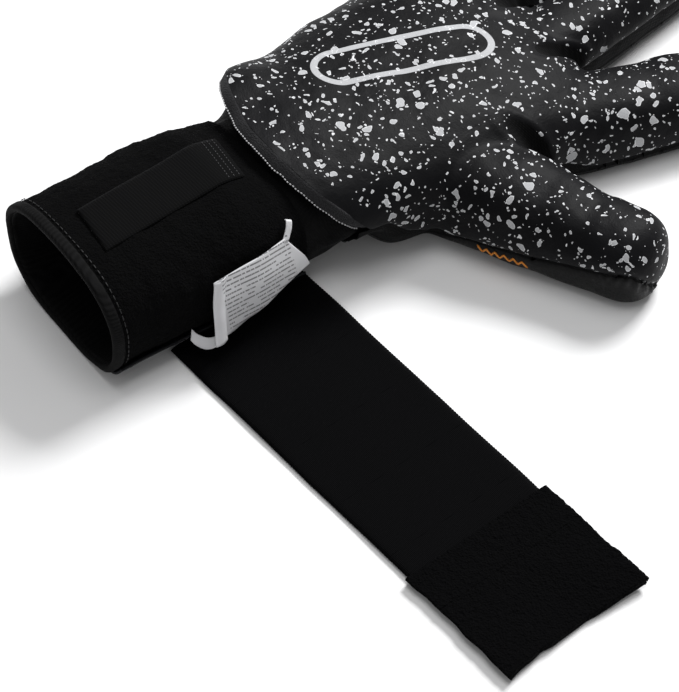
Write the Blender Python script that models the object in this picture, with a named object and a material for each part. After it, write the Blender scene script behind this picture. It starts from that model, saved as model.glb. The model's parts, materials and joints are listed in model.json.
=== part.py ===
"""Goalkeeper glove for a left hand, lying palm down with its wrist strap laid open.

Frame: +Z up, +Y towards the fingertips, +X towards the thumb. The origin is the middle of the
palm's flat rest face. Sizes below are in millimetres and angles in degrees; MM turns
millimetres into Blender's metres.
"""

import math

import bmesh
import bpy
from mathutils import Matrix, Vector

MM = 0.001
GAP = 0.3

# Wrist and cuff: a soft tube on the wrist hinge.
WRIST_Y = -50.0
WRIST_Z = 23.0
CUFF_MOUTH_Y = -148.0
CUFF_CENTRE_X = 1.5
CUFF_HALF_WIDTH = 35.0
CUFF_TOP = 47.5
CUFF_BOTTOM = 0.3
NARROW_START = -88.0
NARROW_LENGTH = 22.0
NARROW_SIDE = 1.5
NARROW_TOP = 5.5
STRETCH_ZONE_X = (-10.0, 52.0)
STRETCH_ZONE_TOP = 11.0
FABRIC = 1.7
LINING = 1.0
HEM_LENGTH = 2.3
FLEX_DOWN = 30.0
FLEX_UP = 10.0
FLEX_MARGIN = 4.0

# Pull band stitched along the top of the cuff.
BAND_WIDTH = 22.0
BAND_LENGTH = 60.0
BAND_CENTRE = (1.7, -105.0)
BAND_YAW = -3.5
BAND_THICKNESS = 1.0

# Layers of the hand: latex palm, textile side walls, printed foam back.
PALM_TOP = 5.0
SEAM_AT_FINGERS = 13.5
SEAM_AT_WRIST = 24.0
SEAM_RISE_Y = (-45.0, -5.0)
SIDE_WALL = 3.0
FOAM = 4.2
HOLLOW_FLOOR = 6.5
FORM_LOW = -5.0
HOLLOW_PAST_WRIST = 8.0
HOLLOW_END_Y = 60.0
FOAM_START_Y = -80.0
FOAM_EDGE_Y = -62.0
FOAM_EDGE_Z = 47.0
FOAM_EDGE_SLOPE = 0.8

# Hand outline: (y, little-finger side x, thumb side x, top z).
HAND_STATIONS = (
    (-66.0, -38.0, 40.0, 49.2),
    (-48.0, -41.0, 41.5, 49.0),
    (-30.0, -45.0, 45.0, 47.5),
    (-10.0, -50.5, 48.0, 45.0),
    (10.0, -53.0, 48.0, 43.5),
    (30.0, -56.0, 48.5, 41.0),
    (46.0, -62.0, 49.5, 37.0),
    (56.0, -63.0, 46.0, 33.5),
    (64.0, -52.0, 28.0, 28.0),
)

# Digits: root point, yaw from +Y towards the thumb, widths and heights at root and tip, and the
# distances from the root to the knuckle hinge, the middle hinge and the tip.
DIGITS = {
    "index": ((34.5, 50.0), 16.0, (34.0, 31.0), (30.0, 24.0), (15.0, 48.0, 87.0)),
    "middle": ((1.0, 62.0), -8.0, (30.0, 29.0), (30.0, 24.0), (18.0, 50.0, 84.0)),
    "ring": ((-29.9, 63.8), -17.0, (29.0, 28.0), (29.0, 23.0), (13.0, 44.0, 76.0)),
    "little": ((-55.2, 54.5), -26.0, (25.0, 24.0), (27.0, 21.0), (12.0, 38.0, 66.0)),
    "thumb": ((41.4, 0.8), 63.4, (38.0, 29.0), (36.0, 30.0), (24.0, 46.0, 74.0)),
}
# How far the digit's form, its hollow and its fixed stub reach back into the hand.
FORM_BACK = 18.0
HOLLOW_BACK = 26.0
STUB_BACK = 17.0
# Fingertip rounding: its radius as a share of the tip's width, then (distance back from the tip
# in radii, share of the full width) for each section.
TIP_RADIUS_SHARE = 0.42
TIP_SECTIONS = ((1.6, 1.0), (1.0, 0.98), (0.5, 0.87), (0.15, 0.62), (0.0, 0.34))
FULL_PAST_KNUCKLE = 7.0
TIP_HEIGHT_KEPT = 0.25
DIGIT_LOW = -3.0
DIGIT_WALL = 2.5
DIGIT_FOAM = 4.5
HINGE_Z = 7.0
CURL = 60.0
NOTCH_MARGIN = 2.0
NOTCH_LOW = -3.0
CUTTER_MARGIN = 2.0
PANEL_MARGIN = 10.0

# Textile webs between the digits: centre, yaw, length and width.
WEBS = {
    "thumb_web": ((39.0, 31.5), 75.0, 32.0, 10.0),
    "index_middle_web": ((14.0, 58.0), 4.0, 22.0, 7.0),
    "middle_ring_web": ((-15.5, 62.0), -12.0, 22.0, 6.0),
    "ring_little_web": ((-44.5, 56.0), -21.0, 20.0, 6.0),
}

# Wrist strap: elastic panels and the hook tab, hinged across the strap.
STRAP_YAW = 4.2
STRAP_ROOT_X = 24.0
STRAP_FIRST_HINGE_X = 48.0
STRAP_PANEL_LENGTH = 28.0
STRAP_PANELS = 4
STRAP_WIDTH = 58.5
STRAP_THICKNESS = 2.4
STRAP_MIDDLE = (37.0, -92.0)
TAB_PANEL_LENGTH = 24.5
TAB_PANELS = 2
TAB_WIDTH = 62.0
HOOK_THICKNESS = 1.6

# Care label: root line and top line, each as (x, y, z) at its cuff end and its hand end.
LABEL_ROOT = ((42.6, -112.0, 9.0), (38.4, -69.0, 15.0))
LABEL_TOP = ((38.4, -108.5, 33.5), (36.8, -76.5, 33.0))
LABEL_BULGE = 2.0
LABEL_THICKNESS = 0.8

ROUNDNESS = 2.6
HAND_SIDES = 24
DIGIT_SIDES = 14

# Reach of the blanks and cutters, well outside the glove.
BLANK_HALF_WIDTH = 160.0
BLANK_FRONT_Y = 110.0
BLANK_BACK_Y = -140.0
BLANK_TOP = 70.0
BLANK_HEIGHT = 50.0
CUTTER_HALF_WIDTH = 90.0
CUTTER_TOP = 80.0
TUBE_PAST = 10.0

MATERIALS = {
    "speckled_foam": ((0.045, 0.045, 0.050), 0.55),
    "side_textile": ((0.012, 0.012, 0.013), 0.85),
    "palm_latex": ((0.018, 0.018, 0.019), 0.60),
    "loop_fabric": ((0.010, 0.010, 0.011), 0.95),
    "stretch_fabric": ((0.014, 0.016, 0.020), 0.60),
    "lining_fabric": ((0.012, 0.012, 0.013), 0.85),
    "band_fabric": ((0.016, 0.016, 0.018), 0.65),
    "ribbed_elastic": ((0.008, 0.008, 0.009), 0.80),
    "hook_fabric": ((0.006, 0.006, 0.007), 0.95),
    "label_satin": ((0.75, 0.75, 0.76), 0.45),
}


def clear_scene():
    for item in list(bpy.data.objects):
        bpy.data.objects.remove(item, do_unlink=True)


def new_collection(name):
    collection = bpy.data.collections.new(name)
    bpy.context.scene.collection.children.link(collection)
    return collection


def material(name):
    """The Principled material called name, made once."""
    found = bpy.data.materials.get(name)
    if found:
        return found
    colour, roughness = MATERIALS[name]
    made = bpy.data.materials.new(name)
    made.use_nodes = True
    shader = made.node_tree.nodes["Principled BSDF"]
    shader.inputs["Base Color"].default_value = (*colour, 1.0)
    shader.inputs["Roughness"].default_value = roughness
    shader.inputs["Metallic"].default_value = 0.0
    return made


def add_mesh(name, mesh, collection):
    made = bpy.data.objects.new(name, mesh)
    collection.objects.link(made)
    return made


def loft(name, rings, collection):
    """A closed body through rings of points in millimetres, with a flat cap at each end."""
    mesh = bmesh.new()
    rows = [[mesh.verts.new(Vector(point) * MM) for point in ring] for ring in rings]
    count = len(rows[0])
    for row, following in zip(rows, rows[1:]):
        for i in range(count):
            j = (i + 1) % count
            mesh.faces.new((row[i], row[j], following[j], following[i]))
    mesh.faces.new(reversed(rows[0]))
    mesh.faces.new(rows[-1])
    bmesh.ops.triangulate(mesh, faces=mesh.faces)
    bmesh.ops.recalc_face_normals(mesh, faces=mesh.faces)
    data = bpy.data.meshes.new(name)
    mesh.to_mesh(data)
    mesh.free()
    return add_mesh(name, data, collection)


def box(name, size, collection, offset=(0.0, 0.0, 0.0)):
    """A box of size millimetres whose middle is at offset from its own origin."""
    mesh = bmesh.new()
    bmesh.ops.create_cube(mesh, size=1.0)
    bmesh.ops.scale(mesh, vec=Vector(size) * MM, verts=mesh.verts)
    bmesh.ops.translate(mesh, vec=Vector(offset) * MM, verts=mesh.verts)
    data = bpy.data.meshes.new(name)
    mesh.to_mesh(data)
    mesh.free()
    return add_mesh(name, data, collection)


def hide_cutter(cutter):
    cutter.hide_render = True
    cutter.display_type = "WIRE"
    return cutter


def cut(piece, operation, cutter):
    """Adds one exact Boolean of the piece with a cutter."""
    modifier = piece.modifiers.new(operation.title(), "BOOLEAN")
    modifier.operation = operation
    modifier.solver = "EXACT"
    modifier.object = cutter
    return piece


def finish(piece, slot):
    piece.data.materials.clear()
    piece.data.materials.append(material(slot))
    return piece


def superellipse(centre, across, up, half_width, half_height, sides):
    """Points round a rounded section in the plane of the unit vectors across and up."""
    points = []
    for i in range(sides):
        turn = 2.0 * math.pi * i / sides
        u = math.copysign(abs(math.cos(turn)) ** (2.0 / ROUNDNESS), math.cos(turn))
        v = math.copysign(abs(math.sin(turn)) ** (2.0 / ROUNDNESS), math.sin(turn))
        points.append(Vector(centre) + across * (u * half_width) + up * (v * half_height))
    return points


def section(y, left, right, low, top, sides):
    centre = ((left + right) / 2.0, y, (low + top) / 2.0)
    across = Vector((1.0, 0.0, 0.0))
    up = Vector((0.0, 0.0, 1.0))
    return superellipse(centre, across, up, (right - left) / 2.0, (top - low) / 2.0, sides)


def seam_height(y):
    """Height of the seam between the foam back and the side wall."""
    start, end = SEAM_RISE_Y
    share = min(max((y - start) / (end - start), 0.0), 1.0)
    smooth = share * share * (3.0 - 2.0 * share)
    return SEAM_AT_WRIST + (SEAM_AT_FINGERS - SEAM_AT_WRIST) * smooth


def heading(yaw):
    angle = math.radians(yaw)
    return Vector((math.sin(angle), math.cos(angle), 0.0))


def digit_point(name, distance, z=0.0):
    root, yaw = DIGITS[name][:2]
    return Vector((root[0], root[1], z)) + heading(yaw) * distance


def digit_form(name, hollow, cutters):
    """The outer form of a whole digit, or the hollow inside it."""
    root, yaw, widths, heights, stops = DIGITS[name]
    along = heading(yaw)
    across = Vector((along.y, -along.x, 0.0))
    up = Vector((0.0, 0.0, 1.0))
    wall = DIGIT_WALL if hollow else 0.0
    foam = DIGIT_FOAM if hollow else 0.0
    low = HOLLOW_FLOOR if hollow else DIGIT_LOW
    start = -HOLLOW_BACK if hollow else -FORM_BACK
    tip = stops[2] - (2.0 * wall)
    radius = TIP_RADIUS_SHARE * widths[1]
    sections = [(start, 1.0), (stops[0] + FULL_PAST_KNUCKLE, 1.0)]
    sections += [(tip - radii * radius, share) for radii, share in TIP_SECTIONS]
    rings = []
    for distance, share in sections:
        progress = min(max(distance / stops[2], 0.0), 1.0)
        width = widths[0] + (widths[1] - widths[0]) * progress
        height = heights[0] + (heights[1] - heights[0]) * progress - foam
        middle = (low + height) / 2.0
        half_height = (height - low) / 2.0 * (TIP_HEIGHT_KEPT + (1.0 - TIP_HEIGHT_KEPT) * share)
        centre = digit_point(name, distance, middle)
        half_width = (width / 2.0 - wall) * share
        rings.append(superellipse(centre, across, up, half_width, half_height, DIGIT_SIDES))
    kind = "hollow" if hollow else "form"
    return hide_cutter(loft(f"{name}_{kind}", rings, cutters))


def place_across_digit(piece, name, distance, z=0.0):
    """Puts a piece at a point on the digit's line, with its own Y along the digit."""
    yaw = math.radians(DIGITS[name][1])
    piece.location = digit_point(name, distance, z) * MM
    piece.rotation_euler = (0.0, 0.0, -yaw)
    return piece


def hinge_notch(name, distance, cutters):
    """A wedge cut from the palm side, so that the digit can curl about its hinge line."""
    slit = GAP / 2.0
    half = math.tan(math.radians(CURL / 2.0 + NOTCH_MARGIN)) * (HINGE_Z - NOTCH_LOW) + slit
    width = DIGITS[name][2][0] / 2.0 + CUTTER_MARGIN
    rings = []
    for x in (-width, width):
        ring = ((x, -slit, HINGE_Z), (x, -half, NOTCH_LOW), (x, half, NOTCH_LOW), (x, slit, HINGE_Z))
        rings.append(ring)
    notch = loft(f"{name}_notch_{distance:.0f}", rings, cutters)
    return hide_cutter(place_across_digit(notch, name, distance))


LAYERS = (
    ("palm", 0.0, PALM_TOP, "palm_latex"),
    ("gusset", PALM_TOP + GAP, SEAM_AT_FINGERS - GAP / 2.0, "side_textile"),
    ("back", SEAM_AT_FINGERS + GAP / 2.0, BLANK_TOP, "speckled_foam"),
)


def build_digit(name, parts, cutters):
    """The moving panels of one digit. Gives back what the hand is cut and joined with."""
    stops = DIGITS[name][4]
    form = digit_form(name, False, cutters)
    hollow = digit_form(name, True, cutters)
    notches = [hinge_notch(name, distance, cutters) for distance in stops[:2]]
    spans = (("base", stops[0], stops[1] - GAP), ("tip", stops[1], stops[2] + PANEL_MARGIN))
    for segment, start, end in spans:
        length = end - start
        for layer, low, top, slot in LAYERS:
            size = (DIGITS[name][2][0] + PANEL_MARGIN, length, top - low)
            offset = (0.0, length / 2.0, (top + low) / 2.0)
            panel = box(f"{name}_{segment}_{layer}", size, parts, offset)
            place_across_digit(panel, name, start)
            cut(panel, "INTERSECT", form)
            cut(panel, "DIFFERENCE", hollow)
            if layer != "back":
                for notch in notches:
                    cut(panel, "DIFFERENCE", notch)
            finish(panel, slot)
    stub_length = stops[0] - GAP + STUB_BACK
    stub_size = (2.0 * DIGITS[name][2][0], stub_length, 2.0 * CUTTER_TOP)
    stub = box(f"{name}_stub", stub_size, cutters, (0.0, stub_length / 2.0, 0.0))
    place_across_digit(stub, name, -STUB_BACK)
    cut(stub, "INTERSECT", form)
    return hide_cutter(stub), hollow, notches[0]


def layer_blank(name, stations, collection):
    """A slab over the whole hand whose floor and top follow (y, low z, top z) stations."""
    side = BLANK_HALF_WIDTH
    rings = []
    for y, low, top in stations:
        rings.append(((-side, y, low), (side, y, low), (side, y, top), (-side, y, top)))
    return loft(name, rings, collection)


def build_hand(parts, cutters):
    digits = [build_digit(name, parts, cutters) for name in DIGITS]
    outer = [section(y, left, right, FORM_LOW, top, HAND_SIDES) for y, left, right, top in HAND_STATIONS]
    form = hide_cutter(loft("hand_form", outer, cutters))
    inner = []
    for i, (y, left, right, top) in enumerate(HAND_STATIONS):
        y_inner = y - HOLLOW_PAST_WRIST if i == 0 else min(y, HOLLOW_END_Y)
        inner.append(
            section(y_inner, left + SIDE_WALL, right - SIDE_WALL, HOLLOW_FLOOR, top - FOAM, HAND_SIDES)
        )
    hollow = hide_cutter(loft("hand_hollow", inner, cutters))
    for stub, digit_hollow, _ in digits:
        cut(form, "UNION", stub)
        cut(hollow, "UNION", digit_hollow)

    wrist_edge = WRIST_Y + GAP + 0.4
    far_edge = BLANK_FRONT_Y
    palm = layer_blank("palm_latex", ((wrist_edge, 0.0, PALM_TOP), (far_edge, 0.0, PALM_TOP)), parts)
    seam_ys = (wrist_edge, -40.0, -32.0, -24.0, -16.0, -5.0, far_edge)
    wall_floor = PALM_TOP + GAP
    walls = [(y, wall_floor, seam_height(y) - GAP / 2.0) for y in seam_ys]
    gusset = layer_blank("side_gusset", walls, parts)
    back_ys = (FOAM_START_Y,) + seam_ys[1:]
    backs = [(y, seam_height(y) + GAP / 2.0, BLANK_TOP) for y in back_ys]
    back = layer_blank("backhand_foam", backs, parts)
    for panel, slot in ((palm, "palm_latex"), (gusset, "side_textile"), (back, "speckled_foam")):
        cut(panel, "INTERSECT", form)
        cut(panel, "DIFFERENCE", hollow)
        if panel != back:
            for _, _, notch in digits:
                cut(panel, "DIFFERENCE", notch)
        finish(panel, slot)

    edge_rings = []
    for x in (-CUTTER_HALF_WIDTH, CUTTER_HALF_WIDTH):
        near_low = FOAM_EDGE_Y + FOAM_EDGE_Z * FOAM_EDGE_SLOPE
        near_top = FOAM_EDGE_Y + (FOAM_EDGE_Z - CUTTER_TOP) * FOAM_EDGE_SLOPE
        near = ((x, near_low, 0.0), (x, near_top, CUTTER_TOP))
        edge_rings.append(near + ((x, BLANK_BACK_Y, CUTTER_TOP), (x, BLANK_BACK_Y, 0.0)))
    cut(back, "DIFFERENCE", hide_cutter(loft("foam_edge_cutter", edge_rings, cutters)))

    for name, (centre, yaw, length, width) in WEBS.items():
        height = BLANK_HEIGHT
        lift = SEAM_AT_FINGERS + GAP / 2.0 + height / 2.0
        web = box(name, (width - 2.0 * GAP, length - 2.0 * GAP, height), parts, (0.0, 0.0, lift))
        slot_size = (width, length, height + 2.0 * CUTTER_MARGIN)
        slot_cutter = hide_cutter(box(f"{name}_slot", slot_size, cutters, (0.0, 0.0, lift)))
        for item in (web, slot_cutter):
            item.location = Vector((centre[0], centre[1], 0.0)) * MM
            item.rotation_euler = (0.0, 0.0, -math.radians(yaw))
        cut(web, "INTERSECT", form)
        cut(web, "DIFFERENCE", hollow)
        finish(web, "side_textile")
        cut(back, "DIFFERENCE", slot_cutter)


def cuff_section(y, inset):
    """The cuff's section at y, inset from its outside; it narrows under the foam's edge."""
    narrowing = min(max((y - NARROW_START) / NARROW_LENGTH, 0.0), 1.0)
    half = CUFF_HALF_WIDTH - NARROW_SIDE * narrowing - inset
    top = CUFF_TOP - NARROW_TOP * narrowing - inset
    return section(
        y, CUFF_CENTRE_X - half, CUFF_CENTRE_X + half, CUFF_BOTTOM + inset, top, HAND_SIDES
    )


def cuff_tube(name, inset, start, end, collection):
    stops = [start] + [y for y in (NARROW_START, NARROW_START + NARROW_LENGTH) if start < y < end] + [end]
    return loft(name, [cuff_section(y, inset) for y in stops], collection)


def build_cuff(parts, cutters):
    tube_start = CUFF_MOUTH_Y + HEM_LENGTH
    tube_end = WRIST_Y - GAP - 0.4
    past = TUBE_PAST
    fabric_hollow = hide_cutter(cuff_tube("fabric_hollow", FABRIC, CUFF_MOUTH_Y - past, past, cutters))
    lining_hollow = hide_cutter(
        cuff_tube("lining_hollow", FABRIC + GAP + LINING, CUFF_MOUTH_Y - past, past, cutters)
    )

    wedges = []
    reach = BLANK_HEIGHT
    for name, flex, height in (("upper_wedge", FLEX_UP, reach), ("lower_wedge", FLEX_DOWN, -reach)):
        back_off = abs(height) * math.tan(math.radians(flex + FLEX_MARGIN))
        y = WRIST_Y - GAP
        rings = []
        for x in (-CUTTER_HALF_WIDTH, CUTTER_HALF_WIDTH):
            end_z = WRIST_Z + height
            ring = ((x, y, WRIST_Z), (x, y - back_off, end_z), (x, y + past, end_z), (x, y + past, WRIST_Z))
            rings.append(ring)
        wedges.append(hide_cutter(loft(name, rings, cutters)))

    zone_start, zone_end = STRETCH_ZONE_X
    panel_size = (zone_end - zone_start, 2.0 * BLANK_HALF_WIDTH, 2.0 * STRETCH_ZONE_TOP)
    panel_offset = ((zone_start + zone_end) / 2.0, 0.0, 0.0)
    stretch_zone = hide_cutter(box("stretch_zone", panel_size, cutters, panel_offset))
    loop_size = (panel_size[0] + 2.0 * GAP, panel_size[1], panel_size[2] + 2.0 * GAP)
    stretch_slot = hide_cutter(box("stretch_slot", loop_size, cutters, panel_offset))

    loop_panel = cuff_tube("cuff_loop_panel", 0.0, tube_start, tube_end, parts)
    stretch_panel = cuff_tube("cuff_stretch_panel", 0.0, tube_start, tube_end, parts)
    lining = cuff_tube("cuff_lining", FABRIC + GAP, tube_start, tube_end, parts)
    hem = cuff_tube("cuff_hem", 0.0, CUFF_MOUTH_Y, tube_start - GAP, parts)
    for tube, hollow in (
        (loop_panel, fabric_hollow),
        (stretch_panel, fabric_hollow),
        (lining, lining_hollow),
        (hem, lining_hollow),
    ):
        cut(tube, "DIFFERENCE", hollow)
        if tube != hem:
            for wedge in wedges:
                cut(tube, "DIFFERENCE", wedge)
    cut(loop_panel, "DIFFERENCE", stretch_slot)
    cut(stretch_panel, "INTERSECT", stretch_zone)
    finish(loop_panel, "loop_fabric")
    finish(stretch_panel, "stretch_fabric")
    finish(lining, "lining_fabric")
    finish(hem, "stretch_fabric")

    band = box("pull_band", (BAND_WIDTH, BAND_LENGTH, BLANK_HEIGHT), parts, (0.0, 0.0, CUFF_TOP))
    band.location = Vector((BAND_CENTRE[0], BAND_CENTRE[1], 0.0)) * MM
    band.rotation_euler = (0.0, 0.0, -math.radians(BAND_YAW))
    form_start, form_end = CUFF_MOUTH_Y - past, WRIST_Y - past
    band_form = hide_cutter(cuff_tube("band_form", -GAP - BAND_THICKNESS, form_start, form_end, cutters))
    hollow_start, hollow_end = form_start - past, form_end + past
    band_hollow = hide_cutter(cuff_tube("band_hollow", -GAP, hollow_start, hollow_end, cutters))
    cut(band, "INTERSECT", band_form)
    cut(band, "DIFFERENCE", band_hollow)
    finish(band, "band_fabric")


def strap_slab(name, start, end, low, top, width, slot, parts):
    """A flat strap panel between two distances along the strap's line."""
    size = (end - start, width, top - low)
    panel = box(name, size, parts, ((start + end) / 2.0, 0.0, (low + top) / 2.0))
    run = STRAP_FIRST_HINGE_X - STRAP_MIDDLE[0]
    middle_y = STRAP_MIDDLE[1] + math.tan(math.radians(STRAP_YAW)) * run
    panel.location = Vector((STRAP_FIRST_HINGE_X, middle_y, 0.0)) * MM
    panel.rotation_euler = (0.0, 0.0, math.radians(STRAP_YAW))
    return finish(panel, slot)


def build_strap(parts):
    start, end = STRAP_ROOT_X - STRAP_FIRST_HINGE_X, -GAP / 2.0
    strap_slab("strap_root", start, end, 0.0, STRAP_THICKNESS, STRAP_WIDTH, "ribbed_elastic", parts)
    for i in range(STRAP_PANELS):
        start = i * STRAP_PANEL_LENGTH + GAP / 2.0
        end = (i + 1) * STRAP_PANEL_LENGTH - GAP / 2.0
        name = f"strap_elastic_{i + 1}"
        strap_slab(name, start, end, 0.0, STRAP_THICKNESS, STRAP_WIDTH, "ribbed_elastic", parts)
    tab_start = STRAP_PANELS * STRAP_PANEL_LENGTH
    for i in range(TAB_PANELS):
        start = tab_start + i * TAB_PANEL_LENGTH + GAP / 2.0
        end = tab_start + (i + 1) * TAB_PANEL_LENGTH - GAP / 2.0
        top = STRAP_THICKNESS + GAP + HOOK_THICKNESS
        backing = f"tab_backing_{i + 1}"
        strap_slab(backing, start, end, 0.0, STRAP_THICKNESS, TAB_WIDTH, "band_fabric", parts)
        hook = f"tab_hook_patch_{i + 1}"
        strap_slab(hook, start, end, STRAP_THICKNESS + GAP, top, TAB_WIDTH, "hook_fabric", parts)


def build_label(parts):
    """A thin curved leaf standing on its root line."""
    rings = []
    steps = 4
    columns = 3
    for column in range(columns):
        along = column / (columns - 1)
        root = Vector(LABEL_ROOT[0]).lerp(Vector(LABEL_ROOT[1]), along)
        top = Vector(LABEL_TOP[0]).lerp(Vector(LABEL_TOP[1]), along)
        front = []
        back = []
        for step in range(steps + 1):
            rise = step / steps
            point = root.lerp(top, rise)
            point.x += LABEL_BULGE * math.sin(math.pi * rise)
            front.append(point + Vector((LABEL_THICKNESS, 0.0, 0.0)))
            back.append(point)
        rings.append(front + back[::-1])
    finish(loft("care_label", rings, parts), "label_satin")


def main():
    clear_scene()
    parts = new_collection("goalkeeper_glove")
    cutters = new_collection("cutters")
    build_hand(parts, cutters)
    build_cuff(parts, cutters)
    build_strap(parts)
    build_label(parts)


main()
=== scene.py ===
"""Looks of a left goalkeeper glove lying palm down with its wrist strap laid open.

Everything is built in the row frame: +Z up, +Y towards the fingertips, +X towards the thumb.
Lengths here are millimetres, which build() turns into metres, unless a comment or a name ending
in _M says that they are metres already.
"""

import json
import math

import bpy
import numpy as np
from mathutils import Matrix, Vector
from mathutils.bvhtree import BVHTree


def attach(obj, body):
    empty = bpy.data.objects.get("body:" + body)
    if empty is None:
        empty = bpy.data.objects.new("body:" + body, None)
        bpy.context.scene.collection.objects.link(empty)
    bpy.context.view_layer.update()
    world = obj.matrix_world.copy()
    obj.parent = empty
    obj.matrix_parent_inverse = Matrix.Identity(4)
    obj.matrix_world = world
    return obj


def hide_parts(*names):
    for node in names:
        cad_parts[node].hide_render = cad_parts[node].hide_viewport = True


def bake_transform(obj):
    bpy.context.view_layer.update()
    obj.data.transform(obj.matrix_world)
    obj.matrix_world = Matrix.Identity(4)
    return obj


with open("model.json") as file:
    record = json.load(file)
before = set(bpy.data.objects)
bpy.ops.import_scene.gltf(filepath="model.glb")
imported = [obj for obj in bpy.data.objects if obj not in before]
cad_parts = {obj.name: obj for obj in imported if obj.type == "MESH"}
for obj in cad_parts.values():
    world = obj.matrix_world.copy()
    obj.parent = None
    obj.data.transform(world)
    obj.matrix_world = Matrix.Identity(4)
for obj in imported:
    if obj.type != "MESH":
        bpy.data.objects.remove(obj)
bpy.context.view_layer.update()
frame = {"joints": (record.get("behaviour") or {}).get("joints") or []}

MM = 0.001
UPWARD = np.array((0.0, 0.0, 1.0))
THUMB_SIDE = np.array((1.0, 0.0, 0.0))

# ---------------------------------------------------------------- camera


CAMERA_SENSOR = 36.0
CAMERA_LENS = 205.2
CAMERA_TURN = math.radians(35.3)
CAMERA_TILT = math.radians(50.0)
CAMERA_PLACE_M = (0.7841, -0.5836, 1.0548)


def make_camera():
    """Three-quarter view from above the strap's end, with the fingertips to the right."""
    data = bpy.data.cameras.new("camera")
    data.sensor_width = CAMERA_SENSOR
    data.lens = CAMERA_LENS
    camera = bpy.data.objects.new("camera", data)
    bpy.context.scene.collection.objects.link(camera)
    right = Vector((math.sin(CAMERA_TURN), math.cos(CAMERA_TURN), 0.0))
    ahead = Vector((-math.cos(CAMERA_TURN), math.sin(CAMERA_TURN), 0.0))
    up = ahead * math.sin(CAMERA_TILT) + Vector((0.0, 0.0, math.cos(CAMERA_TILT)))
    back = -(ahead * math.cos(CAMERA_TILT) - Vector((0.0, 0.0, math.sin(CAMERA_TILT))))
    pose = Matrix((right, up, back)).transposed().to_4x4()
    pose.translation = Vector(CAMERA_PLACE_M)
    camera.matrix_world = pose
    bpy.context.scene.camera = camera


make_camera()

# ---------------------------------------------------------------- numbers and noise


def smooth(value, low, high):
    """0 where value is low or less, 1 where it is high or more, with an even rise between."""
    share = np.clip((value - low) / (high - low), 0.0, 1.0)
    return share * share * (3.0 - 2.0 * share)


def bump(offset, spread):
    """A smooth hump, 1 at offset 0 and about a third at the spread."""
    return np.exp(-((offset / spread) ** 2))


def unit(vectors):
    """The vectors at length 1."""
    return vectors / np.maximum(np.linalg.norm(vectors, axis=-1, keepdims=True), 1e-9)


# Whole numbers that scramble a noise cell's place and seed into one random number.
HASH_CELL = (73856093, 19349663, 83492791)
HASH_SEED = 2654435761
HASH_MIX = (15731, 789221, 1376312589)
HASH_MASK = 0x7FFFFFFF
HASH_MIDDLE = 1073741824.0


def value_noise(points, size, seed):
    """Smooth noise from -1 to 1 at points, with features about size millimetres across."""
    scaled = np.asarray(points, float) / size
    cell = np.floor(scaled).astype(np.int64)
    share = scaled - cell
    fade = share * share * (3.0 - 2.0 * share)
    total = np.zeros(scaled.shape[:-1])
    for corner in range(8):
        offset = np.array([corner & 1, corner >> 1 & 1, corner >> 2 & 1])
        x, y, z = np.moveaxis((cell + offset) * HASH_CELL, -1, 0)
        mixed = (x ^ y ^ z ^ seed * HASH_SEED) & HASH_MASK
        mixed = (mixed * (mixed * mixed % HASH_MIX[0] + HASH_MIX[1]) + HASH_MIX[2]) & HASH_MASK
        weight = np.prod(np.where(offset == 1, fade, 1.0 - fade), axis=-1)
        total += weight * (1.0 - mixed / HASH_MIDDLE)
    return total


# ---------------------------------------------------------------- mesh making


def build(name, points, faces, look, normals=None):
    """A mesh object from points in millimetres. Each point keeps its rest place for the textures."""
    data = bpy.data.meshes.new(name)
    data.from_pydata((points * MM).tolist(), [], [tuple(face) for face in faces])
    data.update()
    rest = data.attributes.new("rest", "FLOAT_VECTOR", "POINT")
    rest.data.foreach_set("vector", points.astype(np.float32).ravel())
    data.materials.append(look)
    data.polygons.foreach_set("use_smooth", [True] * len(data.polygons))
    if normals is not None:
        data.normals_split_custom_set_from_vertices(normals.tolist())
    made = bpy.data.objects.new(name, data)
    bpy.context.scene.collection.objects.link(made)
    return made


def vertex_normals(points, faces):
    """The normals that Blender gives the points of a mesh."""
    data = bpy.data.meshes.new("probe")
    data.from_pydata(points.tolist(), [], [tuple(face) for face in faces])
    data.update()
    found = np.zeros(len(points) * 3, np.float32)
    data.vertex_normals.foreach_get("vector", found)
    bpy.data.meshes.remove(data)
    return found.reshape(-1, 3).astype(float)


def thicken(points, faces, normals, thickness):
    """Outer surface, inner surface and rims of a sheet. Gives points, faces and normals."""
    count = len(points)
    faces = [tuple(int(i) for i in face) for face in faces]
    open_edges = {}
    for face in faces:
        for a, b in zip(face, face[1:] + face[:1]):
            if (b, a) in open_edges:
                del open_edges[(b, a)]
            else:
                open_edges[(a, b)] = True
    made = list(faces)
    made += [tuple(i + count for i in reversed(face)) for face in faces]
    made += [(b, a, a + count, b + count) for a, b in open_edges]
    inner = points - normals * thickness
    return np.vstack((points, inner)), made, np.vstack((normals, -normals))


def grid_faces(rows, columns, closed=False):
    """Quads of a grid of points. A closed one joins its last column to its first."""
    faces = []
    for row in range(rows - 1):
        for column in range(columns if closed else columns - 1):
            beside = (column + 1) % columns
            first, following = row * columns, (row + 1) * columns
            faces.append((first + column, first + beside, following + beside, following + column))
    return faces


def sheet_piece(name, grid, look, thickness, outward, closed=False):
    """A thick sheet under a grid of points (rows, columns, 3) whose outer side faces outward."""
    rows, columns = grid.shape[:2]
    faces = grid_faces(rows, columns, closed)
    points = grid.reshape(-1, 3)
    normals = vertex_normals(points, faces)
    if (normals * np.broadcast_to(outward, grid.shape).reshape(-1, 3)).sum() < 0.0:
        faces = [tuple(reversed(face)) for face in faces]
        normals = -normals
    return build(name, *thicken(points, faces, normals, thickness)[:2], look)


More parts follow.
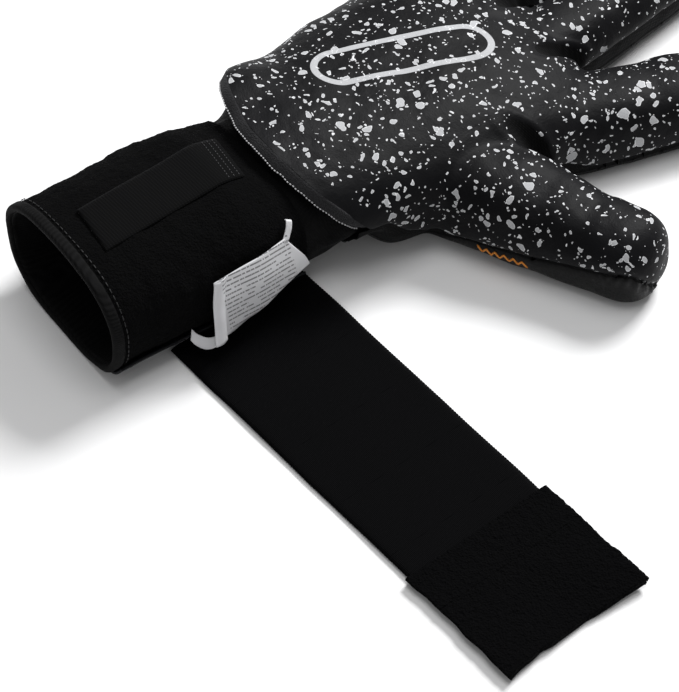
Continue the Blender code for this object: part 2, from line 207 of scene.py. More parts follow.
def outward_faces(points, faces):
    """The faces of a closed body, turned to face outwards."""
    volume = 0.0
    for face in faces:
        for i in range(1, len(face) - 1):
            volume += np.dot(points[face[0]], np.cross(points[face[i]], points[face[i + 1]]))
    return faces if volume > 0.0 else [tuple(reversed(face)) for face in faces]


TAPER_STEPS = 6.0


def swept(name, path, across, up, profile, look, ends):
    """A closed bar: the profile's (across, up) points along the path, shrunk to ends at its ends."""
    rings = []
    count = len(path)
    for i, (point, side, rise) in enumerate(zip(path, across, up)):
        start = min(1.0, ends[0] + (1.0 - ends[0]) * i / TAPER_STEPS)
        stop = min(1.0, ends[1] + (1.0 - ends[1]) * (count - 1 - i) / TAPER_STEPS)
        size = min(start, stop)
        rings.append([point + side * (a * size) + rise * (b * size) for a, b in profile])
    rings = np.array(rings)
    faces = grid_faces(count, len(profile), True)
    faces.append(tuple(reversed(range(len(profile)))))
    last = (count - 1) * len(profile)
    faces.append(tuple(last + i for i in range(len(profile))))
    points = rings.reshape(-1, 3)
    return build(name, points, outward_faces(points, faces), look)


def stitches(name, places, directions, normals, length, radius, look):
    """A row of short threads lying on a surface, as one piece."""
    sides = 6
    steps = ((-0.5, 0.35), (-0.3, 1.0), (0.3, 1.0), (0.5, 0.35))
    points, faces = [], []
    for place, along, normal in zip(places, directions, normals):
        side = np.cross(along, normal)
        base = len(points)
        for share, size in steps:
            for k in range(sides):
                turn = 2.0 * math.pi * k / sides
                out = side * math.cos(turn) + normal * math.sin(turn)
                points.append(place + along * (share * length) + out * (radius * size))
        ring_faces = grid_faces(len(steps), sides, True)
        faces += [tuple(base + i for i in face) for face in ring_faces]
        faces.append(tuple(base + i for i in reversed(range(sides))))
        top = base + (len(steps) - 1) * sides
        faces.append(tuple(top + i for i in range(sides)))
    return build(name, np.array(points), faces, look)


def resample(path, spacing, *others):
    """The path and its companions at even steps along its length."""
    steps = np.linalg.norm(np.diff(path, axis=0), axis=1)
    run = np.concatenate(([0.0], np.cumsum(steps)))
    count = max(2, int(round(run[-1] / spacing)) + 1)
    stops = np.linspace(0.0, run[-1], count)
    found = []
    for values in (path,) + others:
        found.append(np.stack([np.interp(stops, run, values[:, i]) for i in range(3)], axis=1))
    return found


# 2 is an ellipse, and more is squarer.
ROUNDNESS = 2.6


def superellipse(turns):
    """Sideways and upward places round the section of the hand, a digit or the cuff."""
    power = 2.0 / ROUNDNESS
    cosine, sine = np.cos(turns), np.sin(turns)
    return np.sign(cosine) * np.abs(cosine) ** power, np.sign(sine) * np.abs(sine) ** power


def soft_floor(height, floor, softness):
    """Heights pressed up from below so that none is under the floor."""
    lift = (height - floor) / softness
    return floor + softness * np.logaddexp(0.0, lift)


# ---------------------------------------------------------------- materials


class Look:
    """A node material whose textures follow the rest places of the surface, in millimetres."""

    def __init__(self, name, roughness, specular=0.5):
        self.material = bpy.data.materials.new(name)
        self.material.use_nodes = True
        self.tree = self.material.node_tree
        self.shader = self.tree.nodes["Principled BSDF"]
        self.shader.inputs["Roughness"].default_value = roughness
        self.shader.inputs["Specular IOR Level"].default_value = specular
        source = self.tree.nodes.new("ShaderNodeAttribute")
        source.attribute_name = "rest"
        self.rest = source.outputs["Vector"]
        self.height = None

    def node(self, kind, inputs=None, **settings):
        made = self.tree.nodes.new(kind)
        for key, value in settings.items():
            setattr(made, key, value)
        for key, value in (inputs or {}).items():
            socket = made.inputs[key]
            if isinstance(value, bpy.types.NodeSocket):
                self.tree.links.new(value, socket)
            else:
                socket.default_value = value
        return made

    def math(self, operation, *inputs, clamp=False):
        numbered = dict(enumerate(inputs))
        return self.node("ShaderNodeMath", numbered, operation=operation, use_clamp=clamp).outputs[0]

    def vector(self, operation, *inputs):
        """A vector from a vector operation."""
        numbered = dict(enumerate(inputs))
        return self.node("ShaderNodeVectorMath", numbered, operation=operation).outputs["Vector"]

    def measure(self, operation, *inputs):
        """A number from a vector operation."""
        numbered = dict(enumerate(inputs))
        return self.node("ShaderNodeVectorMath", numbered, operation=operation).outputs["Value"]

    def scaled(self, vector, scale):
        return self.node("ShaderNodeVectorMath", {0: vector, "Scale": scale}, operation="SCALE").outputs[0]

    def ramp(self, value, low, high):
        """0 where value is low or less, 1 where it is high or more."""
        made = self.node(
            "ShaderNodeMapRange",
            {"Value": value, "From Min": low, "From Max": high},
            interpolation_type="SMOOTHSTEP",
        )
        return made.outputs["Result"]

    def noise(self, size, detail=2.0, output="Fac"):
        inputs = {"Vector": self.rest, "Scale": 1.0 / size, "Detail": detail}
        return self.node("ShaderNodeTexNoise", inputs).outputs[output]

    def cells(self, size):
        """Distance from the middle of the nearest of many random cells."""
        inputs = {"Vector": self.rest, "Scale": 1.0 / size}
        return self.node("ShaderNodeTexVoronoi", inputs).outputs["Distance"]

    def lines(self, direction, pitch):
        """Threads one pitch apart across the direction, from 0 between them to 1 on them."""
        phase = self.measure("DOT_PRODUCT", self.rest, direction)
        turn = self.math("MULTIPLY", phase, 2.0 * math.pi / pitch)
        return self.math("MULTIPLY_ADD", self.math("SINE", turn), 0.5, 0.5)

    def mix(self, share, first, second):
        """The first colour where share is 0, the second where it is 1."""
        made = self.node("ShaderNodeMix", data_type="RGBA")
        for index, value in ((0, share), (6, first), (7, second)):
            socket = made.inputs[index]
            if isinstance(value, bpy.types.NodeSocket):
                self.tree.links.new(value, socket)
            elif index == 0:
                socket.default_value = value
            else:
                socket.default_value = (*value, 1.0)
        return made.outputs[2]

    def colour(self, socket):
        self.tree.links.new(socket, self.shader.inputs["Base Color"])

    def roughness(self, socket):
        self.tree.links.new(socket, self.shader.inputs["Roughness"])

    def bump(self, height, depth):
        """Relief: height 1 stands depth millimetres proud."""
        made = self.node("ShaderNodeBump", {"Height": height, "Strength": 1.0, "Distance": depth * MM})
        if self.height is not None:
            self.tree.links.new(self.height, made.inputs["Normal"])
        self.height = made.outputs["Normal"]
        self.tree.links.new(self.height, self.shader.inputs["Normal"])

    def sheen(self, weight, roughness, tint):
        self.shader.inputs["Sheen Weight"].default_value = weight
        self.shader.inputs["Sheen Roughness"].default_value = roughness
        self.shader.inputs["Sheen Tint"].default_value = (*tint, 1.0)


SPECKLE_SHIFT = (17.3, 9.1, 5.7)
SPECKLE_BIAS = 1.5


def speckle(look, source, cell, density, radii, seed):
    """Depth inside blotches of random size in some of the cells of a Voronoi texture."""
    moved = look.vector("ADD", source, tuple(seed * step for step in SPECKLE_SHIFT))
    texture = look.node("ShaderNodeTexVoronoi", {"Vector": moved, "Scale": 1.0 / cell})
    distance = look.math("MULTIPLY", texture.outputs["Distance"], cell)
    parts = look.node("ShaderNodeSeparateColor", {"Color": texture.outputs["Color"]})
    chosen = look.math("GREATER_THAN", parts.outputs["Green"], 1.0 - density)
    spread = look.math("POWER", parts.outputs["Red"], SPECKLE_BIAS)
    radius = look.math("MULTIPLY_ADD", spread, radii[1] - radii[0], radii[0])
    return look.math("SUBTRACT", look.math("MULTIPLY", radius, chosen), distance)


# Printed outline on the back of the hand: a plain stadium, its two centres and its radius.
PRINT_START = (-13.0, -20.0, 0.0)
PRINT_END = (0.0, 28.0, 0.0)
PRINT_RADIUS = 8.5
PRINT_LINE = 2.6


def stadium(look):
    """1 on the stadium's line, measured from above."""
    start, end = np.array(PRINT_START), np.array(PRINT_END)
    run = end - start
    flat = look.vector("MULTIPLY", look.rest, (1.0, 1.0, 0.0))
    offset = look.vector("SUBTRACT", flat, PRINT_START)
    share = look.measure("DOT_PRODUCT", offset, tuple(run / run.dot(run)))
    share = look.math("MULTIPLY", share, 1.0, clamp=True)
    away = look.vector("SUBTRACT", offset, look.scaled(tuple(run), share))
    ring = look.math("ABSOLUTE", look.math("SUBTRACT", look.measure("LENGTH", away), PRINT_RADIUS))
    return look.math("LESS_THAN", ring, PRINT_LINE / 2.0)


# The print stops short of the wrist edge, most of all at its rolled near corner.
PRINT_EDGE = (-0.14, 1.0, 0.8)
PRINT_STOP = -23.2
SPECKLE_RIM = 0.16
# Speckles: size of a cell, share of the cells with a blotch, smallest and largest radius.
SPECKLES = (
    (6.2, 0.66, (0.8, 1.9)),
    (4.2, 0.74, (0.5, 1.3)),
    (3.0, 0.66, (0.35, 0.85)),
    (1.9, 0.60, (0.20, 0.45)),
)
FOAM_ROUGHNESS = 0.53
INK_ROUGHNESS = 0.758


def wobble(look, size, reach):
    """A random shift of about reach millimetres that changes over size millimetres."""
    return look.scaled(look.vector("SUBTRACT", look.noise(size, 1.0, "Color"), (0.5, 0.5, 0.5)), reach)


def foam_look():
    """Near-black foam with a silver print of ragged speckles and a plain stadium."""
    look = Look("speckled_foam_print", FOAM_ROUGHNESS, 0.09)
    source = look.vector("ADD", look.rest, wobble(look, 5.0, 5.0))
    source = look.vector("ADD", source, wobble(look, 1.3, 0.7))
    layers = [speckle(look, source, *speckles, seed) for seed, speckles in enumerate(SPECKLES, 1)]
    depth = layers[0]
    for other in layers[1:]:
        depth = look.math("MAXIMUM", depth, other)
    edge = look.measure("DOT_PRODUCT", look.rest, PRINT_EDGE)
    printed = look.math("GREATER_THAN", edge, PRINT_STOP)
    ink = look.math("MULTIPLY", look.math("GREATER_THAN", depth, 0.0), printed)
    rim = look.math("MULTIPLY", ink, look.math("LESS_THAN", depth, SPECKLE_RIM))
    ink = look.math("MAXIMUM", ink, stadium(look))
    foam = look.mix(look.noise(30.0), (0.0012, 0.0012, 0.0015), (0.0050, 0.0050, 0.0062))
    silver = look.mix(look.noise(0.35), (0.30, 0.305, 0.315), (0.50, 0.505, 0.52))
    silver = look.mix(rim, silver, (0.66, 0.665, 0.68))
    look.colour(look.mix(ink, foam, silver))
    look.bump(look.noise(0.6, 3.0), 0.10)
    look.bump(look.noise(4.0), 0.25)
    look.bump(ink, 0.05)
    look.roughness(look.math("MULTIPLY_ADD", ink, INK_ROUGHNESS - FOAM_ROUGHNESS, FOAM_ROUGHNESS))
    look.sheen(0.006, 0.5, (0.85, 0.87, 0.92))
    return look.material


def cut_foam_look():
    look = Look("foam_cut_edge", 0.85, 0.12)
    grain = look.noise(0.5, 4.0)
    look.colour(look.mix(grain, (0.008, 0.008, 0.0085), (0.034, 0.034, 0.036)))
    look.bump(look.cells(0.55), 0.25)
    look.bump(grain, 0.18)
    look.sheen(0.04, 0.6, (0.9, 0.9, 0.95))
    return look.material


def latex_look():
    look = Look("palm_latex_smooth", 0.36, 0.15)
    grain = look.noise(0.7, 4.0)
    look.colour(look.mix(look.noise(9.0), (0.0010, 0.0010, 0.0011), (0.0028, 0.0028, 0.0031)))
    look.bump(grain, 0.07)
    look.bump(look.noise(5.0), 0.30)
    look.roughness(look.ramp(grain, -0.6, 1.6))
    return look.material


def woven_look(name, finish, threads, shades, depth, folds, sheen=None):
    """Cloth of one or two sets of threads over soft folds.

    finish is (roughness, specular), a set of threads is (direction, pitch), shades are the dark
    and the light colour, depth is the threads' relief and folds are (size, detail, depth).
    """
    look = Look(name, *finish)
    weave = look.lines(*threads[0])
    for other in threads[1:]:
        weave = look.math("MULTIPLY", weave, look.lines(*other))
    look.colour(look.mix(weave, *shades))
    look.bump(weave, depth)
    look.bump(look.noise(*folds[:2]), folds[2])
    if sheen:
        look.sheen(*sheen)
    return look.material


def loop_look():
    look = Look("cuff_loop_pile", 0.95, 0.02)
    pile = look.noise(0.45, 4.0)
    look.colour(look.mix(pile, (0.0004, 0.0004, 0.0004), (0.0050, 0.0050, 0.0052)))
    look.bump(pile, 0.45)
    look.bump(look.cells(0.9), 0.30)
    look.sheen(0.006, 0.6, (0.8, 0.8, 0.85))
    return look.material


def elastic_look():
    look = Look("strap_ribbed_elastic", 0.82, 0.045)
    threads = look.lines((-0.0732, 0.9973, 0.0), 0.55)
    fuzz = look.noise(0.5, 3.0)
    shade = look.math("MULTIPLY", threads, fuzz)
    look.colour(look.mix(shade, (0.0004, 0.0004, 0.0006), (0.0034, 0.0034, 0.0040)))
    look.bump(threads, 0.10)
    look.bump(fuzz, 0.12)
    look.sheen(0.008, 0.45, (0.8, 0.82, 0.9))
    return look.material


def hook_look():
    look = Look("tab_hook_pile", 0.92, 0.04)
    pile = look.noise(0.4, 4.0)
    look.colour(look.mix(pile, (0.0002, 0.0002, 0.0003), (0.0030, 0.0030, 0.0034)))
    look.bump(look.cells(0.8), 0.45)
    look.bump(pile, 0.35)
    return look.material


def thread_look(name, dark, light):
    look = Look(name, 0.6, 0.4)
    twist = look.noise(0.25, 2.0)
    look.colour(look.mix(twist, dark, light))
    look.bump(twist, 0.04)
    return look.material


# The label's own frame for its printed rows: a point on its edge, along its rows, up its face.
LABEL_CORNER = (44.2, -112.2, 12.0)
LABEL_ALONG = (-0.10, 0.995, 0.02)
LABEL_UP = (-0.36, 0.06, 0.93)
LABEL_ROW = 1.75
# Half of a printed row as a share of the step between rows, and how far each row's dashes move on.
LABEL_INK_HALF = 0.17
LABEL_ROW_SHIFT = 7.7
# Where the print fades in and out along the rows, and where it fades in above the bottom edge.
LABEL_PRINT_START = (7.0, 7.6)
LABEL_PRINT_END = (38.0, 38.6)
LABEL_PRINT_LOW = (1.6, 1.9)


def label_look():
    """White satin with rows of plain dashes in place of its small print."""
    look = Look("label_satin_white", 0.42, 0.5)
    offset = look.vector("SUBTRACT", look.rest, LABEL_CORNER)
    along = look.measure("DOT_PRODUCT", offset, LABEL_ALONG)
    rise = look.measure("DOT_PRODUCT", offset, LABEL_UP)
    rows = look.math("MULTIPLY", rise, 1.0 / LABEL_ROW)
    from_middle = look.math("ABSOLUTE", look.math("SUBTRACT", look.math("FRACT", rows), 0.5))
    in_row = look.math("LESS_THAN", from_middle, LABEL_INK_HALF)
    shift = look.math("MULTIPLY", look.math("FLOOR", rows), LABEL_ROW_SHIFT)
    step = look.node("ShaderNodeCombineXYZ", {0: along, 1: shift}).outputs[0]
    marks = in_row
    for scale, detail, least in ((1.3, 1.0, 0.42), (0.22, 0.0, 0.36)):
        noise = look.node("ShaderNodeTexNoise", {"Vector": step, "Scale": scale, "Detail": detail})
        marks = look.math("MULTIPLY", marks, look.math("GREATER_THAN", noise.outputs["Fac"], least))
    inside = look.math("SUBTRACT", 1.0, look.ramp(along, *LABEL_PRINT_END))
    inside = look.math("MULTIPLY", inside, look.ramp(along, *LABEL_PRINT_START))
    inside = look.math("MULTIPLY", inside, look.ramp(rise, *LABEL_PRINT_LOW))
    ink = look.math("MULTIPLY", marks, inside)
    paper = look.mix(look.noise(12.0), (0.60, 0.60, 0.62), (0.72, 0.72, 0.74))
    look.colour(look.mix(look.math("MULTIPLY", ink, 0.8), paper, (0.06, 0.06, 0.065)))
    look.bump(look.lines(LABEL_UP, 0.3), 0.02)
    look.bump(look.noise(6.0), 0.35)
    look.sheen(0.2, 0.3, (1.0, 1.0, 1.0))
    return look.material


def floor_look():
    look = Look("studio_floor", 0.7, 0.2)
    grain = look.node("ShaderNodeTexNoise", {"Scale": 40.0})
    look.colour(look.mix(grain.outputs["Fac"], (0.90, 0.90, 0.905), (0.93, 0.93, 0.935)))
    return look.material


FOAM = foam_look()
CUT_FOAM = cut_foam_look()
TEXTILE = woven_look(
    "side_textile_knit",
    (0.8, 0.10),
    (((1.0, 0.3, 0.4), 0.8), ((-0.3, 1.0, 0.4), 0.8)),
    ((0.0010, 0.0010, 0.0011), (0.0040, 0.0040, 0.0043)),
    0.10,
    (3.0, 3.0, 0.25),
    (0.012, 0.45, (0.8, 0.82, 0.9)),
)
LATEX = latex_look()
LOOP = loop_look()
STRETCH = woven_look(
    "cuff_stretch_knit",
    (0.62, 0.14),
    (((0.1, 1.0, 0.1), 0.6),),
    ((0.0022, 0.0026, 0.0034), (0.0055, 0.0062, 0.0080)),
    0.06,
    (4.0, 3.0, 0.35),
    (0.03, 0.4, (0.75, 0.82, 1.0)),
)
LINING = woven_look(
    "cuff_lining_jersey",
    (0.8, 0.10),
    (((0.4, 0.1, 1.0), 0.9),),
    ((0.0012, 0.0012, 0.0013), (0.0040, 0.0040, 0.0042)),
    0.08,
    (5.0, 3.0, 0.5),
)
BAND = woven_look(
    "pull_band_tape",
    (0.8, 0.05),
    (((1.0, 0.05, 0.0), 0.7), ((-0.05, 1.0, 0.0), 1.1)),
    ((0.0014, 0.0014, 0.0015), (0.0040, 0.0040, 0.0043)),
    0.10,
    (7.0, 2.0, 0.25),
    (0.012, 0.5, (0.85, 0.87, 0.92)),
)
ELASTIC = elastic_look()
HOOK = hook_look()
SATIN = label_look()
DARK_THREAD = thread_look("thread_charcoal", (0.0015, 0.0015, 0.0017), (0.007, 0.007, 0.0075))
GREY_THREAD = thread_look("thread_grey", (0.018, 0.018, 0.019), (0.055, 0.055, 0.058))
PALE_THREAD = thread_look("thread_pale", (0.35, 0.35, 0.36), (0.62, 0.62, 0.63))
ORANGE = thread_look("orange_print", (0.62, 0.20, 0.02), (0.80, 0.30, 0.04))

# ---------------------------------------------------------------- glove skin

VOXEL = 1.25
RELAX_ROUNDS = 14
HAND_LOW = -5.0
DIGIT_LOW = -3.0
# Hand outline: (y, little-finger side x, thumb side x, top z).
HAND = np.array(
    (
        (-72.0, -37.5, 39.5, 49.2),
        (-48.0, -41.0, 41.5, 49.0),
        (-30.0, -45.0, 45.0, 47.5),
        (-10.0, -50.5, 48.0, 45.0),
        (10.0, -53.0, 48.0, 43.5),
        (30.0, -56.0, 48.5, 41.0),
        (46.0, -62.0, 49.5, 37.0),
        (56.0, -62.0, 46.0, 33.5),
        (64.0, -52.0, 28.0, 28.0),
    )
)
# Digits: widths at root and tip, heights at root and tip, and distances from the root to the
# knuckle hinge and to the tip. Hinge places and directions come from the frame's joints.
DIGITS = {
    "index": ((34.0, 31.0), (30.0, 24.0), (15.0, 87.0)),
    "middle": ((30.0, 29.0), (30.0, 24.0), (18.0, 84.0)),
    "ring": ((29.0, 28.0), (29.0, 23.0), (13.0, 76.0)),
    "little": ((25.0, 24.0), (27.0, 21.0), (12.0, 66.0)),
    "thumb": ((38.0, 29.0), (36.0, 30.0), (24.0, 74.0)),
}
# Half lengths of the stretches at a knuckle and at a digit's middle, which place the cuts between a digit's
# pieces.
KNUCKLE_BEND = 9.0
MIDDLE_BEND = 11.0
# Digit forms: how far they reach back into the hand, and how their tips are rounded.
FORM_BACK = -18.0
TIP_ROUNDING = 0.46
TIP_SHAPE = 0.82
TIP_LAST_ANGLE = math.radians(88.0)
TIP_HEIGHT_KEPT = 0.25
FORM_SIDES = 48
HAND_RINGS = 40
DIGIT_RINGS = 16
TIP_RINGS = 9
JOINTS = {joint["name"]: joint for joint in frame["joints"]}


def digit_frame(name):
    """Root point, direction, sideways direction and distance to the middle hinge of a digit."""
    knuckle = JOINTS[f"{name}_curl"]
    axis = np.array(knuckle["axis"])
    along = np.array((axis[1], -axis[0], 0.0))
    across = np.array((along[1], -along[0], 0.0))
    place = np.array(knuckle["pos_m"]) / MM * (1.0, 1.0, 0.0)
    root = place - along * DIGITS[name][2][0]
    middle = np.array(JOINTS[f"{name}_bend"]["pos_m"]) / MM * (1.0, 1.0, 0.0)
    return root, along, across, float((middle - root) @ along)


FRAMES = {name: digit_frame(name) for name in DIGITS}


def form_points():
    """Closed lofts of the hand and the digits as (points, faces)."""
    turns = np.linspace(0.0, 2.0 * math.pi, FORM_SIDES, endpoint=False)
    side, rise = superellipse(turns)
    points, faces = [], []

    def add(rings):
        base = sum(len(part) for part in points)
        count = len(rings)
        points.append(np.array(rings).reshape(-1, 3))
        faces.extend(tuple(base + i for i in face) for face in grid_faces(count, len(turns), True))
        faces.append(tuple(base + i for i in reversed(range(len(turns)))))
        last = base + (count - 1) * len(turns)
        faces.append(tuple(last + i for i in range(len(turns))))

    rings = []
    for y in np.linspace(HAND[0, 0], HAND[-1, 0], HAND_RINGS):
        left, right, top = (np.interp(y, HAND[:, 0], HAND[:, k]) for k in (1, 2, 3))
        x = (left + right) / 2.0 + side * (right - left) / 2.0
        z = (HAND_LOW + top) / 2.0 + rise * (top - HAND_LOW) / 2.0
        rings.append(np.stack((x, np.full_like(x, y), z), axis=1))
    add(rings)

    for name, (widths, heights, stops) in DIGITS.items():
        root, along, across, _ = FRAMES[name]
        tip = stops[1]
        rounding = TIP_ROUNDING * widths[1]
        stages = [(d, 1.0) for d in np.linspace(FORM_BACK, tip - rounding, DIGIT_RINGS)]
        for angle in np.linspace(0.0, TIP_LAST_ANGLE, TIP_RINGS)[1:]:
            stages.append((tip - rounding * (1.0 - math.sin(angle)), math.cos(angle) ** TIP_SHAPE))
        rings = []
        for distance, share in stages:
            progress = min(max(distance / tip, 0.0), 1.0)
            half_width = (widths[0] + (widths[1] - widths[0]) * progress) / 2.0 * share
            height = heights[0] + (heights[1] - heights[0]) * progress
            kept = TIP_HEIGHT_KEPT + (1.0 - TIP_HEIGHT_KEPT) * share
            half_height = (height - DIGIT_LOW) / 2.0 * kept
            middle = (height + DIGIT_LOW) / 2.0
            centre = root + along * distance + np.array((0.0, 0.0, middle))
            rings.append(centre + np.outer(side * half_width, across) + np.outer(rise * half_height, UPWARD))
        add(rings)
    return np.vstack(points), faces


def remeshed(points, faces):
    """The forms joined into one even, smoothed surface, as points and triangles."""
    data = bpy.data.meshes.new("forms")
    data.from_pydata((points * MM).tolist(), [], faces)
    holder = bpy.data.objects.new("forms", data)
    bpy.context.scene.collection.objects.link(holder)
    remesh = holder.modifiers.new("remesh", "REMESH")
    remesh.mode = "VOXEL"
    remesh.voxel_size = VOXEL * MM
    relax = holder.modifiers.new("relax", "SMOOTH")
    relax.factor = 0.5
    relax.iterations = RELAX_ROUNDS
    triangles = holder.modifiers.new("triangles", "TRIANGULATE")
    triangles.quad_method = "SHORTEST_DIAGONAL"
    graph = bpy.context.evaluated_depsgraph_get()
    result = holder.evaluated_get(graph).to_mesh()
    count = len(result.vertices)
    places = np.zeros(count * 3, np.float32)
    result.vertices.foreach_get("co", places)
    corners = np.zeros(len(result.polygons) * 3, np.int32)
    result.polygons.foreach_get("vertices", corners)
    bpy.data.objects.remove(holder)
    bpy.data.meshes.remove(data)
    return places.reshape(-1, 3).astype(float) / MM, corners.reshape(-1, 3).astype(np.int64)


# A cut keeps this share of an edge on either side of it, so that no sliver is left.
LEAST_SHARE = 0.02


def crossed_edges(triangles, positive):
    """The edges, as pairs of points in order, that go from one side of a cut to the other."""
    found = set()
    for triangle in triangles:
        for a, b in ((0, 1), (1, 2), (2, 0)):
            i, j = int(triangle[a]), int(triangle[b])
            if positive[i] != positive[j]:
                found.add((min(i, j), max(i, j)))
    return found


def split(points, triangles, labels, field, chosen):
    """Cuts the chosen triangles where field is zero. Gives points, triangles, labels and sides."""
    positive = field >= 0.0
    signs = positive[triangles]
    crossed = signs.any(axis=1) & ~signs.all(axis=1)
    mixed = chosen & crossed
    edges = crossed_edges(triangles[mixed], positive)
    # A neighbour that isn't chosen but shares a cut edge is cut too, so that no gap opens.
    for position in np.nonzero(crossed & ~mixed)[0]:
        mixed[position] = not edges.isdisjoint(crossed_edges(triangles[position : position + 1], positive))
    pairs = np.array(sorted(crossed_edges(triangles[mixed], positive)), np.int64).reshape(-1, 2)
    share = field[pairs[:, 0]] / (field[pairs[:, 0]] - field[pairs[:, 1]])
    share = np.clip(share, LEAST_SHARE, 1.0 - LEAST_SHARE)[:, None]
    added = points[pairs[:, 0]] * (1.0 - share) + points[pairs[:, 1]] * share
    index = {(int(a), int(b)): len(points) + k for k, (a, b) in enumerate(pairs)}
    new_triangles, new_labels, sides = [], [], []
    for triangle, label in zip(triangles[mixed], labels[mixed]):
        flags = positive[triangle]
        lone = int(np.nonzero(flags == (flags.sum() == 1))[0][0])
        a, b, c = (int(triangle[(lone + k) % 3]) for k in range(3))
        ab, ac = index[(min(a, b), max(a, b))], index[(min(a, c), max(a, c))]
        new_triangles += [(a, ab, ac), (ab, b, c), (ab, c, ac)]
        new_labels += [label] * 3
        sides += [bool(positive[a]), bool(positive[b]), bool(positive[b])]
    points = np.vstack((points, added))
    sides = np.concatenate((signs[~mixed].sum(axis=1) >= 2, np.array(sides, bool)))
    triangles = np.vstack((triangles[~mixed], np.array(new_triangles, np.int64).reshape(-1, 3)))
    labels = np.concatenate((labels[~mixed], np.array(new_labels, labels.dtype)))
    return points, triangles, labels, sides


# The seam under the foam back: its heights at the wrist and at the fingers, and where it changes.
SEAM_AT_WRIST = 24.0
SEAM_AT_FINGERS = 13.5
SEAM_RISE = (-45.0, -5.0)
# The same seam on the thumb's near side, as (distance along the thumb, height).
THUMB_SEAM = np.array(
    (
        (-24.0, 25.5),
        (-15.5, 24.0),
        (-12.0, 17.0),
        (-7.5, 10.5),
        (0.0, 9.0),
        (20.0, 11.5),
        (48.0, 15.5),
        (60.0, 18.0),
        (67.0, 19.0),
        (74.0, 20.5),
    )
)
INDEX_SEAM = 6.8
# The seam over the latex palm: its height, and the textile left between the seams on the thumb.
PALM_SEAM = 5.0
THUMB_TEXTILE = 1.2


def near_side(points):
    """Distance along the thumb, and how much a point belongs to the side that faces the strap."""
    root, along, across, _ = FRAMES["thumb"]
    offset = points - root
    distance, sideways = offset @ along, offset @ across
    share = smooth(sideways, -3.0, 7.0) * smooth(points[..., 0], 8.0, 26.0)
    return distance, share


def index_side(points):
    """How much a point belongs to the index finger's side that faces the thumb."""
    root, along, across, _ = FRAMES["index"]
    offset = points - root
    return smooth(offset @ along, -12.0, 6.0) * smooth(offset @ across, 4.0, 11.0)


def foam_seam(points):
    """Height of the seam under the foam back."""
    y = points[..., 1]
    high = SEAM_AT_WRIST + (SEAM_AT_FINGERS - SEAM_AT_WRIST) * smooth(y, *SEAM_RISE)
    distance, share = near_side(points)
    near = np.interp(distance, THUMB_SEAM[:, 0], THUMB_SEAM[:, 1])
    high = high * (1.0 - share) + near * share
    beside_index = index_side(points)
    return high * (1.0 - beside_index) + INDEX_SEAM * beside_index


def palm_seam(points):
    """Height of the seam over the latex palm, which wraps up the outer side of the thumb."""
    distance, share = near_side(points)
    wrap = share * smooth(distance, -8.0, 4.0)
    rise = (foam_seam(points) - PALM_SEAM - THUMB_TEXTILE) * wrap
    return PALM_SEAM + rise - 0.8 * index_side(points)


# Textile webs between the digits: centre, yaw in degrees, length and width.
WEBS = {
    "thumb_web": ((50.3, 26.0), 61.0, 32.0, 8.0),
    "index_middle_web": ((14.0, 60.0), 4.0, 22.0, 8.0),
    "middle_ring_web": ((-15.5, 62.0), -12.0, 22.0, 7.0),
    "ring_little_web": ((-44.5, 56.0), -21.0, 20.0, 7.0),
}


def web_field(points, name):
    """Distance inside the edge of a textile web between two digits, positive inside."""
    centre, yaw, length, width = WEBS[name]
    angle = math.radians(yaw)
    offset = points[..., :2] - np.array(centre)
    along = offset @ np.array((math.sin(angle), math.cos(angle)))
    across = offset @ np.array((math.cos(angle), -math.sin(angle)))
    taper = 1.0 - 0.35 * np.clip(along / (length / 2.0), -1.0, 1.0)
    radius = np.sqrt((along / (length / 2.0)) ** 2 + (across / (width / 2.0 * taper)) ** 2)
    return (1.0 - radius) * width / 2.0


# How far ahead of its segment, and how many half widths to its side, a digit still owns the skin.
OWNED_BEFORE = 6.0
OWNED_BESIDE = 1.22
NO_DIGIT = -1


def nearest_digit(centres):
    """Index of the digit that each point is beside, or NO_DIGIT on the hand."""
    best = np.full(len(centres), 1e9)
    owner = np.full(len(centres), NO_DIGIT)
    for k, name in enumerate(DIGITS):
        root, along, across, _ = FRAMES[name]
        distance = (centres - root) @ along
        relative = np.abs((centres - root) @ across) / (DIGITS[name][0][0] / 2.0)
        start = DIGITS[name][2][0] - KNUCKLE_BEND - OWNED_BEFORE
        closer = (distance > start) & (relative < OWNED_BESIDE) & (relative < best)
        best[closer] = relative[closer]
        owner[closer] = k
    return owner


WAIST_Y = -45.0
WAIST_HALF = 9.0
WAIST_LIFT = 13.0
WAIST_PULL = 3.0


def waist(points):
    """Draws the lower thumb side in where the glove narrows between the hand and the cuff."""
    x, y, z = np.moveaxis(points, -1, 0)
    share = bump(y - WAIST_Y, WAIST_HALF) * smooth(x, 2.0, 32.0) * (1.0 - smooth(z, 12.0, 26.0))
    moved = np.array(points)
    moved[..., 2] += WAIST_LIFT * share * (1.0 - z / 30.0)
    moved[..., 0] -= WAIST_PULL * share
    return moved


FOAM_EDGE_SLOPE = 0.8
FOAM_EDGE_Y = -24.4
FAR_CORNER_BACK = 8.0
FAR_CORNER_LIFT = 8.0


def wrist_slant(points):
    """Distance ahead of the foam's slanted wrist cut, which falls back at the far corner."""
    x, y, z = np.moveaxis(points, -1, 0)
    return y + FOAM_EDGE_SLOPE * z - FOAM_EDGE_Y - FAR_CORNER_BACK * smooth(-x, 2.0, 38.0)


def flare(points):
    """Lifts the foam's far corner off the wrist, where it stands up like a tab."""
    x, y, z = np.moveaxis(points, -1, 0)
    share = smooth(-x, 6.0, 40.0) * smooth(-y, 30.0, 54.0) * smooth(z, 8.0, 26.0)
    moved = np.array(points)
    moved[..., 2] += FAR_CORNER_LIFT * share
    return moved


